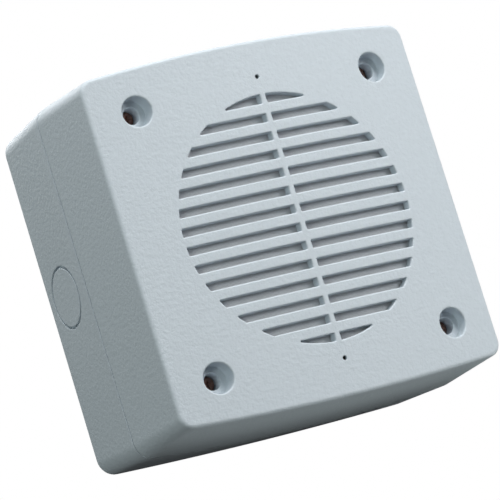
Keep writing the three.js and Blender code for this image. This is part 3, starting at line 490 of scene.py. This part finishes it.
def nodes_of(name):
    """A new material, its node tree and its shader."""
    material = bpy.data.materials.new(name)
    material.use_nodes = True
    return material, material.node_tree, material.node_tree.nodes["Principled BSDF"]


def place_of(tree, stretch):
    """The object's own space, so that every piece has its grain at the same scale."""
    place = tree.nodes.new("ShaderNodeTexCoord")
    mapping = tree.nodes.new("ShaderNodeMapping")
    mapping.inputs["Scale"].default_value = stretch
    tree.links.new(place.outputs["Object"], mapping.inputs["Vector"])
    return mapping.outputs["Vector"]


def speckle(tree, scale, stretch=(1, 1, 1), detail=3, roughness=0.55):
    """Noise with scale features per metre."""
    noise = tree.nodes.new("ShaderNodeTexNoise")
    noise.inputs["Scale"].default_value = scale
    noise.inputs["Detail"].default_value = detail
    noise.inputs["Roughness"].default_value = roughness
    tree.links.new(place_of(tree, stretch), noise.inputs["Vector"])
    return noise.outputs["Fac"]


def cells(tree, scale, stretch=(1, 1, 1)):
    """Rounded cells, as in foam."""
    voronoi = tree.nodes.new("ShaderNodeTexVoronoi")
    voronoi.inputs["Scale"].default_value = scale
    tree.links.new(place_of(tree, stretch), voronoi.inputs["Vector"])
    return voronoi.outputs["Distance"]


def bands(tree, pitch, direction, wobble=0.5):
    """Even ridges across a direction, one for each pitch in metres."""
    wave = tree.nodes.new("ShaderNodeTexWave")
    wave.bands_direction = direction
    wave.inputs["Scale"].default_value = math.pi / (10 * pitch)
    wave.inputs["Distortion"].default_value = wobble
    tree.links.new(place_of(tree, (1, 1, 1)), wave.inputs["Vector"])
    return wave.outputs["Fac"]


def joined(tree, operation, a, b):
    """Two textures combined by a Math node's operation."""
    made = tree.nodes.new("ShaderNodeMath")
    made.operation = operation
    tree.links.new(a, made.inputs[0])
    tree.links.new(b, made.inputs[1])
    return made.outputs["Value"]


def weave(tree, pitch, directions="XZ"):
    """Threads over and under each other."""
    a, b = (bands(tree, pitch, direction) for direction in directions)
    return joined(tree, "MAXIMUM", a, b)


def ramp(tree, source, low, high, start=0.3, end=0.7):
    """Colours or greys from low to high as source goes from start to end."""
    made = tree.nodes.new("ShaderNodeValToRGB")
    made.color_ramp.elements[0].position = start
    made.color_ramp.elements[1].position = end
    made.color_ramp.elements[0].color = (*low, 1)
    made.color_ramp.elements[1].color = (*high, 1)
    tree.links.new(source, made.inputs["Fac"])
    return made.outputs["Color"]


def bump(tree, height, distance, below=None):
    made = tree.nodes.new("ShaderNodeBump")
    made.inputs["Distance"].default_value = distance
    tree.links.new(height, made.inputs["Height"])
    if below is not None:
        tree.links.new(below, made.inputs["Normal"])
    return made.outputs["Normal"]


def shaded(color, change):
    return tuple(c * change for c in color)


def surface(name, color, patches, grain, depth, roughness, metallic=0.0, specular=0.5,
            change=0.05, start=0.3, end=0.7):
    """A material. patches colours it, and grain sets its roughness and relief: each is a
    function that makes its texture in the material's node tree. depth is in metres."""
    material, tree, shader = nodes_of(name)
    paint = ramp(tree, patches(tree), shaded(color, 1 - change), shaded(color, 1 + change),
                 start, end)
    tree.links.new(paint, shader.inputs["Base Color"])
    height = grain(tree)
    tree.links.new(ramp(tree, height, (roughness[0],) * 3, (roughness[1],) * 3, start, end),
                   shader.inputs["Roughness"])
    tree.links.new(bump(tree, height, depth), shader.inputs["Normal"])
    shader.inputs["Metallic"].default_value = metallic
    shader.inputs["Specular IOR Level"].default_value = specular
    return material


def housing_plastic():
    """Cool light grey moulding with a spark-eroded texture of fine and coarser grain."""
    material, tree, shader = nodes_of("housing_plastic")
    color = (0.615, 0.675, 0.727)
    tree.links.new(ramp(tree, speckle(tree, 520), shaded(color, 0.98), shaded(color, 1.015)),
                   shader.inputs["Base Color"])
    fine = speckle(tree, 2600, detail=2)
    coarse = speckle(tree, 850, detail=3)
    tree.links.new(ramp(tree, fine, (0.5,) * 3, (0.64,) * 3), shader.inputs["Roughness"])
    relief = bump(tree, fine, 0.00003, bump(tree, coarse, 0.00017))
    tree.links.new(relief, shader.inputs["Normal"])
    shader.inputs["Specular IOR Level"].default_value = 0.35
    return material


def plated(name, color, roughness, patch_scale=260):
    """Plated steel with fine drawing lines and faint blotches."""
    return surface(name, color, lambda tree: speckle(tree, patch_scale),
                   lambda tree: speckle(tree, 900, (1, 1, 7), 4, 0.7), 0.000012, roughness, 1.0,
                   change=0.1)


def moulded(name, color, roughness, grain_scale=2500, depth=0.00002, change=0.06):
    """Moulded plastic with a fine even grain."""
    return surface(name, color, lambda tree: speckle(tree, 400),
                   lambda tree: speckle(tree, grain_scale), depth, roughness, change=change)


def board_laminate():
    """Solder resist over glass cloth, with the darker lines of the tracks under it."""
    return surface("board_green", (0.03, 0.16, 0.08),
                   lambda tree: joined(tree, "MULTIPLY", weave(tree, 0.0024), speckle(tree, 90)),
                   lambda tree: weave(tree, 0.0006), 0.00001, (0.22, 0.4), change=0.35,
                   start=0.1, end=0.8)


def make_materials():
    return {
        "housing_plastic": housing_plastic(),
        "grille_cloth": surface("grille_cloth", (0.68, 0.685, 0.71),
                                lambda tree: weave(tree, 0.0004),
                                lambda tree: weave(tree, 0.0004), 0.00006, (0.85, 0.98),
                                specular=0.1, change=0.12, start=0.1, end=0.95),
        "foam": surface("foam", (0.025, 0.025, 0.027), lambda tree: cells(tree, 1800),
                        lambda tree: cells(tree, 1800), 0.00015, (0.8, 0.95), specular=0.2,
                        change=0.5, start=0.1, end=0.6),
        "surround_rubber": moulded("surround_rubber", (0.012, 0.012, 0.012), (0.45, 0.62), 1800),
        "cone_paper": surface("cone_paper", (0.02, 0.018, 0.018),
                              lambda tree: speckle(tree, 900, detail=6),
                              lambda tree: speckle(tree, 1500, detail=6, roughness=0.75), 0.00012,
                              (0.75, 0.95), specular=0.25, change=0.4),
        "pressed_steel": plated("pressed_steel", (0.52, 0.54, 0.56), (0.3, 0.48)),
        "zinc_steel": plated("zinc_steel", (0.62, 0.63, 0.65), (0.2, 0.38), 420),
        "bronzed_steel": plated("bronzed_steel", (0.36, 0.21, 0.17), (0.38, 0.6), 900),
        "ferrite": surface("ferrite", (0.035, 0.037, 0.04),
                           lambda tree: speckle(tree, 500, detail=5),
                           lambda tree: speckle(tree, 1600, detail=5, roughness=0.7), 0.00006,
                           (0.55, 0.8), change=0.25),
        "copper": surface("copper", (0.55, 0.22, 0.09), lambda tree: bands(tree, 0.0004, "Y"),
                          lambda tree: bands(tree, 0.0004, "Y"), 0.0001, (0.2, 0.4), 0.9,
                          change=0.2),
        "phenolic": surface("phenolic", (0.19, 0.085, 0.03),
                            lambda tree: speckle(tree, 700, (1, 4, 1), 5),
                            lambda tree: speckle(tree, 2000), 0.00002, (0.4, 0.6), change=0.18),
        "tinned_brass": plated("tinned_brass", (0.66, 0.66, 0.64), (0.25, 0.42), 700),
        "red_pvc": moulded("red_pvc", (0.42, 0.014, 0.012), (0.28, 0.42)),
        "black_pvc": moulded("black_pvc", (0.01, 0.01, 0.01), (0.28, 0.42)),
        "board_green": board_laminate(),
        "black_epoxy": moulded("black_epoxy", (0.014, 0.014, 0.016), (0.45, 0.65), 3000,
                               change=0.15),
        "capacitor_sleeve": moulded("capacitor_sleeve", (0.012, 0.018, 0.055), (0.16, 0.3), 900,
                                    0.00003),
        "resistor_body": moulded("resistor_body", (0.5, 0.36, 0.18), (0.35, 0.5), 1200, 0.00004),
        "terminal_green": moulded("terminal_green", (0.02, 0.2, 0.07), (0.35, 0.5)),
        "plunger_red": moulded("plunger_red", (0.42, 0.014, 0.012), (0.25, 0.4)),
        "spring_steel": surface("spring_steel", (0.5, 0.51, 0.53), lambda tree: speckle(tree, 600),
                                lambda tree: speckle(tree, 3000, (1, 8, 1)), 0.000008,
                                (0.18, 0.34), 1.0, change=0.08),
        "spider_cloth": surface("spider_cloth", (0.42, 0.22, 0.055),
                                lambda tree: weave(tree, 0.0006),
                                lambda tree: weave(tree, 0.0006), 0.0001, (0.6, 0.85), change=0.3,
                                start=0.1, end=0.9),
    }


MATERIALS = make_materials()
for part in frame["record"]["subparts"]:
    slots = frame["nodes"][part["node"]].data.materials
    slots.clear()
    slots.append(MATERIALS[part["material_slot"]])


# ---- Front cover ----

def face_depth(depth):
    """The level of the surface that lies depth behind the bowed face, as wall_loop takes it."""
    return lambda x: face_y(x) + depth


def on_face(loop, depth):
    return [(x, face_y(x) + depth, z) for x, z in loop]


def at_level(loop, y):
    return [(x, y, z) for x, z in loop]


def flat(point):
    """A point's place as seen from the front."""
    return (point[0], point[2])


def louvre_holes():
    """The sharp outlines of the louvre slots, drawn in by their corner radius."""
    found = []
    outermost = (LOUVRE_ROWS - 1) / 2
    inset = LOUVRE_CORNER_RADIUS
    reach = GRILLE_RADIUS - inset
    for row in range(LOUVRE_ROWS):
        place = row - outermost
        middle = place * LOUVRE_PITCH - LOUVRE_DROP
        low = middle - LOUVRE_SLOT / 2 + inset
        high = middle + LOUVRE_SLOT / 2 - inset
        if abs(place) == outermost:
            low = low if place > 0 else -reach
            high = high if place < 0 else reach
        found.append(slot_outline(low, high, reach, inset))
    mirrored = [[(-x, z) for x, z in reversed(loop)] for loop in found]
    return found + mirrored


def slot_outline(low, high, reach, inset):
    """One slot right of the rib, anticlockwise from its lower left corner."""
    left = GRILLE_RIB_WIDTH / 2 + inset

    def edge(z):
        end = math.sqrt(max(reach ** 2 - z ** 2, 0))
        return max(end, left) if abs(z) < reach else left

    def straight(z):
        count = max(round((edge(z) - left) / SLOT_SPACING), 1)
        return [(left + (edge(z) - left) * i / count, z) for i in range(count + 1)]

    if high >= reach:
        start = math.degrees(math.asin(low / reach))
        end = math.degrees(math.acos(left / reach))
        steps = max(round(edge(low) / SLOT_SPACING), 4)
        return straight(low)[:-1] + arc((0, 0), reach, start, end, steps)
    if low <= -reach:
        start = -math.degrees(math.acos(left / reach))
        end = math.degrees(math.asin(high / reach))
        steps = max(round(edge(high) / SLOT_SPACING), 4)
        return arc((0, 0), reach, start, end, steps)[:-1] + straight(high)[::-1]
    start = math.degrees(math.asin(low / reach))
    end = math.degrees(math.asin(high / reach))
    steps = max(round(abs(edge(low) - edge(high)) / SLOT_END_SPACING), 2)
    return straight(low)[:-1] + arc((0, 0), reach, start, end, steps) + straight(high)[::-1][1:]


def lip(loop, radius):
    """Loops of a hole's rounded lip, from a guard ring on the face down to the hole's wall."""
    found = [on_face(grown(loop, radius + GUARD), 0)]
    for back, depth in reversed(rounding(radius)):
        found.append(on_face(grown(loop, back), depth))
    return found


def louvre_lip(hole):
    """A louvre slot's loops, from the face to the slats' backs. The edge over the slot, which
    is the underside of a slat, is rounded less than the rest."""
    wall = grown(hole, LOUVRE_CORNER_RADIUS)
    outwards = [Vector(b) - Vector(a) for a, b in zip(wall, grown(hole, LOUVRE_CORNER_RADIUS + 1))]

    def ring(edge, underside):
        found = []
        for (x, z), way in zip(wall, outwards):
            upward = max(way.normalized().y, 0)
            back, depth = (a + (b - a) * upward for a, b in zip(edge, underside))
            x, z = x + way.x * back, z + way.y * back
            found.append((x, face_y(x) + depth, z))
        return found

    edges = rounding(LOUVRE_EDGE_RADIUS, LOUVRE_ROUND_STEPS)
    undersides = rounding(LOUVRE_UNDERSIDE_RADIUS, LOUVRE_ROUND_STEPS)
    loops = [ring((LOUVRE_EDGE_RADIUS + GUARD, 0), (LOUVRE_UNDERSIDE_RADIUS + GUARD, 0))]
    loops += [ring(a, b) for a, b in reversed(list(zip(edges, undersides)))]
    loops.append(on_face(wall, SLAT_THICKNESS))
    return loops


def front_cover():
    skin = Skin()
    rim_y = -BASE_DEPTH - GAP
    lip_y = -BASE_DEPTH - LIP_HEIGHT - 2 * GAP
    lip_inset = SIDE_WALL - LIP_THICKNESS - GAP
    # The rim, from the inner face's border round the open end to the outer face's border.
    rim = [
        wall_loop(SIDE_WALL, face_depth(FACE_WALL)),
        wall_loop(SIDE_WALL, lip_y),
        wall_loop(lip_inset, lip_y),
        wall_loop(lip_inset, rim_y),
    ]
    for inset, depth in reversed(rounding(SEAM_EDGE_RADIUS)):
        rim.append(wall_loop(inset, rim_y - depth))
    rim.append(wall_loop(0, rim_y - SEAM_EDGE_RADIUS - GUARD))
    rim.append(wall_loop(0, face_depth(EDGE_RADIUS + GUARD)))
    for inset, depth in rounding(EDGE_RADIUS, EDGE_ROUND_STEPS):
        rim.append(wall_loop(inset, face_depth(depth)))
    rim.append(wall_loop(EDGE_RADIUS + GUARD, face_depth(0)))
    rows = skin.sleeve(rim)
    outer_borders = [rows[-1]]
    ring_borders = [rows[0]]
    disc_borders = []

    for loop in louvre_holes():
        made = skin.sleeve(louvre_lip(loop))
        outer_borders.append(made[0])
        disc_borders.append(made[-1])
    for side in (-1, 1):
        centre = (0, side * PINHOLE_SPACING / 2)
        loop = circle(centre, PINHOLE_RADIUS, 16)
        pocket = circle(centre, PINHOLE_POCKET_RADIUS, 16)
        made = skin.sleeve(lip(loop, PINHOLE_LIP_RADIUS) + [
            on_face(loop, PINHOLE_WEB),
            on_face(pocket, PINHOLE_WEB),
            on_face(pocket, FACE_WALL),
        ])
        outer_borders.append(made[0])
        ring_borders.append(made[-1])
    for sx, sz in CORNERS:
        made = skin.sleeve(well(sx * SCREW_X, sz * SCREW_X))
        outer_borders.append(made[0])
        ring_borders.append(made[-1])
        ring_borders.append(post(skin, (sx * CLAMP_REACH, sz * CLAMP_REACH), CLAMP_BOSS_RADIUS,
                                 CLAMP_BOSS_END_Y, face_depth(FACE_WALL), CLAMP_HOLE_RADIUS,
                                 CLAMP_HOLE_END_Y))
    ring_borders.append(post(skin, TAMPER_POST, TAMPER_POST_RADIUS, TAMPER_POST_END_Y,
                             face_depth(FACE_WALL)))
    seat_outside = circle((0, 0), SEAT_OUTER_RADIUS, SEAT_STEPS)
    seat_inside = circle((0, 0), SEAT_INNER_RADIUS, SEAT_STEPS)
    seat = skin.sleeve([
        on_face(seat_outside, FACE_WALL),
        at_level(seat_outside, SEAT_Y),
        at_level(seat_inside, SEAT_Y),
        on_face(seat_inside, SLAT_THICKNESS),
    ])
    ring_borders.append(seat[0])
    disc_borders.insert(0, seat[-1])

    skin.patch(outer_borders, face_places(), flat,
               lambda place: (place[0], face_y(place[0]), place[1]))
    skin.patch(ring_borders, [], flat, None)
    skin.patch(disc_borders, [], flat, None)
    cover = skin.piece("cover_shell", MATERIALS["housing_plastic"])
    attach(cover, "housing")
    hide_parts("front_cover")


def face_places():
    """Places on the bowed face, clear of its border and of everything cut into it."""
    border = 3

    def is_clear(x, z):
        off_wells = math.hypot(abs(x) - SCREW_X, abs(z) - SCREW_X) > WELL_RADIUS + 2
        off_grille = math.hypot(x, z) > GRILLE_RADIUS + 2
        off_pinhole = math.hypot(x, abs(z) - PINHOLE_SPACING / 2) > PINHOLE_POCKET_RADIUS + 0.6
        return off_wells and off_grille and off_pinhole

    return grid(FACE_OUTLINE["width"] / 2 - border, FACE_OUTLINE["height"] / 2 - border, FACE_GRID,
                is_clear)


def well(x, z):
    """The loops of a screw well, from the face down its bores and back up the pillar outside."""

    def ring(radius, y):
        return at_level(circle((x, z), radius, WELL_STEPS), y)

    loops = lip(circle((x, z), WELL_RADIUS, WELL_STEPS), WELL_LIP_RADIUS)
    for back, depth in rounding(WELL_FLOOR_RADIUS):
        loops.append(ring(WELL_RADIUS - back, WELL_FLOOR_Y - depth))
    loops.append(ring(HEAD_BORE_RADIUS + HEAD_BORE_LIP_RADIUS + GUARD, WELL_FLOOR_Y))
    for back, depth in reversed(rounding(HEAD_BORE_LIP_RADIUS)):
        loops.append(ring(HEAD_BORE_RADIUS + back, WELL_FLOOR_Y + depth))
    loops.append(ring(HEAD_BORE_RADIUS, HEAD_SEAT_Y))
    loops.append(ring(SHANK_BORE_RADIUS, HEAD_SEAT_Y))
    pillar_end = -BASE_DEPTH - 2 * GAP
    loops.append(ring(SHANK_BORE_RADIUS, pillar_end))
    loops.append(ring(PILLAR_RADIUS, pillar_end))
    boss_end = WELL_FLOOR_Y + SIDE_WALL
    loops.append(ring(PILLAR_RADIUS, boss_end))
    loops.append(ring(WELL_BOSS_RADIUS, boss_end))
    loops.append(on_face(circle((x, z), WELL_BOSS_RADIUS, WELL_STEPS), FACE_WALL))
    return loops


def post(skin, centre, radius, end_y, foot, hole_radius=0, hole_end_y=0):
    """A round post standing on a wall, with a blind hole if it has a hole radius. foot gives the
    wall's Y at an x. Returns the loop at the foot."""
    outside = circle(centre, radius, POST_STEPS)
    loops = [[(x, foot(x), z) for x, z in outside], at_level(outside, end_y)]
    if hole_radius:
        inside = circle(centre, hole_radius, POST_STEPS)
        loops += [at_level(inside, end_y), at_level(inside, hole_end_y)]
    rows = skin.sleeve(loops)
    skin.cap(rows[-1])
    return rows[0]


# ---- Rear base ----

def rear_base():
    skin = Skin()
    floor_y = -SIDE_WALL
    seam_y = -BASE_DEPTH
    rim_y = seam_y + SEAM_SETBACK
    lip_y = seam_y - LIP_HEIGHT
    lip_inset = SIDE_WALL - LIP_THICKNESS
    rim = [
        wall_loop(SIDE_WALL, floor_y),
        wall_loop(SIDE_WALL, lip_y),
        wall_loop(lip_inset, lip_y),
        wall_loop(lip_inset, rim_y),
    ]
    for inset, depth in reversed(rounding(SEAM_EDGE_RADIUS)):
        rim.append(wall_loop(inset, rim_y + depth))
    side_start = len(rim)
    rim.append(wall_loop(0, rim_y + SEAM_EDGE_RADIUS + GUARD))
    rim.append(wall_loop(0, -REAR_EDGE_RADIUS - GUARD))
    for inset, depth in rounding(REAR_EDGE_RADIUS, EDGE_ROUND_STEPS):
        rim.append(wall_loop(inset, -depth))
    rim.append(wall_loop(REAR_EDGE_RADIUS + GUARD, 0))
    rows = [skin.loop(points) for points in rim]
    for number, (a, b) in enumerate(zip(rows, rows[1:])):
        skipped = (0, LEFT_SIDE_START) if number == side_start else ()
        skin.bridge(a, b, skipped)
    for start in (0, LEFT_SIDE_START):
        side_knockout(skin, rows[side_start], rows[side_start + 1], start)

    rear_borders = [rows[-1]]
    floor_borders = [rows[0]]
    for sx, sz in CORNERS:
        hole = circle((sx * WALL_HOLE_X, sz * WALL_HOLE_Z), WALL_HOLE_RADIUS, POST_STEPS)
        made = skin.sleeve(rear_lip(hole, WALL_HOLE_LIP_RADIUS) + [at_level(hole, floor_y)])
        rear_borders.append(made[0])
        floor_borders.append(made[-1])
        floor_borders.append(post(skin, (sx * SCREW_X, sz * SCREW_X), PILLAR_RADIUS, seam_y,
                                  lambda x: floor_y, SHANK_BORE_RADIUS, -PILOT_DEPTH))
    for x in (-BOARD_POST_X, BOARD_POST_X):
        for z in BOARD_POST_Z:
            floor_borders.append(post(skin, (x, z), BOARD_POST_RADIUS, BOARD_POST_END_Y,
                                      lambda x: floor_y, BOARD_HOLE_RADIUS, BOARD_HOLE_END_Y))
    entry_radius = CABLE_ENTRY_WIDTH / 2
    entry_end = CABLE_ENTRY_LENGTH / 2 - entry_radius
    entry = arc((CABLE_ENTRY_X, entry_end), entry_radius, 0, 180, 24)
    entry += arc((CABLE_ENTRY_X, -entry_end), entry_radius, 180, 360, 24)
    made = skin.sleeve(rear_lip(entry, CABLE_ENTRY_LIP_RADIUS) + [at_level(entry, floor_y)])
    rear_borders.append(made[0])
    floor_borders.append(made[-1])
    made = skin.sleeve(groove_loops(
        lambda radius, depth: at_level(circle((0, REAR_KNOCKOUT_Z), radius, GROOVE_STEPS), -depth)))
    rear_borders.append(made[0])
    skin.patch([made[-1]], [], flat, None)
    skin.patch(rear_borders, [], flat, None)
    skin.patch(floor_borders, [], flat, None)
    base = skin.piece("base_shell", MATERIALS["housing_plastic"])
    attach(base, "housing")
    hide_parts("rear_base")


def rear_lip(loop, radius):
    """Loops of a hole's rounded lip in the rear wall, from a guard ring down to the hole's wall."""
    found = [at_level(grown(loop, radius + GUARD), 0)]
    for back, depth in reversed(rounding(radius)):
        found.append(at_level(grown(loop, back), -depth))
    return found


def groove_loops(ring):
    """Loops of a knockout's ring groove. ring makes one from a radius and a depth."""
    soft = KNOCKOUT_GROOVE_LIP_RADIUS
    outer = KNOCKOUT_RADIUS
    inner = KNOCKOUT_RADIUS - KNOCKOUT_GROOVE_WIDTH
    deep = KNOCKOUT_GROOVE_DEPTH
    loops = [ring(outer + soft + GUARD, 0)]
    loops += [ring(outer + back, depth) for back, depth in reversed(rounding(soft))]
    loops += [ring(outer, deep), ring(inner, deep)]
    loops += [ring(inner - back, depth) for back, depth in rounding(soft)]
    loops.append(ring(inner - soft - GUARD, 0))
    return loops


def side_knockout(skin, front_row, rear_row, start):
    """The flat stretch of a side wall, with the knockout's ring groove in it."""
    border = [front_row[start], front_row[start + 1], rear_row[start + 1], rear_row[start]]
    a, b, _, d = (Vector(skin.points[i]) for i in border)
    middle_front = (a + b) / 2
    upright = (b - a).normalized()
    along = (d - a) - upright * (d - a).dot(upright)
    along.normalize()
    out = upright.cross(along)
    if out.x * a.x < 0:
        out = -out
    reach = (KNOCKOUT_Y - middle_front.y) / along.y
    centre = middle_front + along * reach

    def lift(place, depth):
        return tuple(centre + along * place[0] + Vector((0, 0, 1)) * place[1] - out * depth)

    def on_wall(point):
        offset = Vector(point) - centre
        return (offset.dot(along), offset.z)

    def ring(radius, depth):
        return [lift(place, depth) for place in circle((0, 0), radius, GROOVE_STEPS)]

    made = skin.sleeve(groove_loops(ring))
    skin.patch([border, made[0]], [], on_wall, None)
    skin.patch([made[-1]], [], on_wall, None)


# ---- Cover screws ----

def cross(centre, arm, half_width):
    """A cross recess's outline, anticlockwise, its inner corners filled a little."""
    quarter = [(arm, -half_width), (arm, half_width), (half_width * 1.5, half_width * 1.1),
               (half_width * 1.1, half_width * 1.5)]
    found = []
    for turn in range(4):
        cos, sin = math.cos(turn * math.pi / 2), math.sin(turn * math.pi / 2)
        found += [(centre[0] + cos * x - sin * z, centre[1] + sin * x + cos * z)
                  for x, z in quarter]
    return found


def cover_screw(number, centre):
    """A pan head screw with a cross recess and a coarse thread for plastic."""
    skin = Skin()

    def dome_y(radius):
        return HEAD_FRONT_Y + SCREW_HEAD_DOME * (radius / SCREW_HEAD_RADIUS) ** 2

    def on_dome(place):
        return (place[0], dome_y(math.dist(place, centre)), place[1])

    def ring(radius, y):
        return at_level(circle(centre, radius, SCREW_STEPS), y)

    arm, half_width = SCREW_RECESS_ARM, SCREW_RECESS_HALF_WIDTH
    recess = skin.sleeve([
        at_level(cross(centre, arm * 0.35, half_width * 0.5), HEAD_FRONT_Y + SCREW_RECESS_DEPTH),
        at_level(cross(centre, arm * 0.9, half_width * 0.85),
                 HEAD_FRONT_Y + SCREW_RECESS_STEP_DEPTH),
        [on_dome(place) for place in cross(centre, arm, half_width)],
    ])
    skin.cap(recess[0])

    edge = SCREW_HEAD_RADIUS - SCREW_HEAD_EDGE_RADIUS
    seat = HEAD_FRONT_Y + SCREW_HEAD_HEIGHT
    loops = [ring(radius, dome_y(radius)) for radius in SCREW_HEAD_RINGS]
    for back, depth in reversed(rounding(SCREW_HEAD_EDGE_RADIUS)):
        loops.append(ring(SCREW_HEAD_RADIUS - back, dome_y(edge) + depth))
    loops += [ring(SCREW_HEAD_RADIUS, seat), ring(SCREW_THREAD_ROOT + 0.2, seat)]
    loops += thread_loops(centre, seat + SCREW_PLAIN_NECK, seat + SCREW_LENGTH)
    rows = skin.sleeve(loops)
    skin.cap(rows[-1])
    skin.patch([rows[0], recess[-1]], [], flat, None)
    name = "cover_screw_%d" % number
    screw = skin.piece("cross_head_screw_%d" % number, MATERIALS["bronzed_steel"])
    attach(screw, "housing")
    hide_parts(name)


def thread_loops(centre, start, end):
    """Loops down a screw's shank, with one helical ridge that fades at both ends."""
    found = []
    rise = SCREW_THREAD_PITCH / 4
    for row in range(int((end - start) / rise) + 1):
        y = start + row * rise
        left = end - y
        fade = min(1, row / 4, left / SCREW_POINT_LENGTH)
        slim = min(1, 0.25 + 0.75 * left / SCREW_POINT_LENGTH)
        loop = []
        for step in range(SCREW_STEPS):
            turn = step / SCREW_STEPS
            phase = (y / SCREW_THREAD_PITCH + turn) % 1
            ridge = max(0, 1 - abs(phase - 0.5) * 4) * fade
            radius = slim * (SCREW_THREAD_ROOT + (SCREW_THREAD_RADIUS - SCREW_THREAD_ROOT) * ridge)
            angle = 2 * math.pi * turn
            loop.append((centre[0] + radius * math.cos(angle), y,
                         centre[1] + radius * math.sin(angle)))
        found.append(loop)
    return found


front_cover()
rear_base()
for number, (sx, sz) in enumerate(CORNERS, 1):
    cover_screw(number, (sx * SCREW_X, sz * SCREW_X))
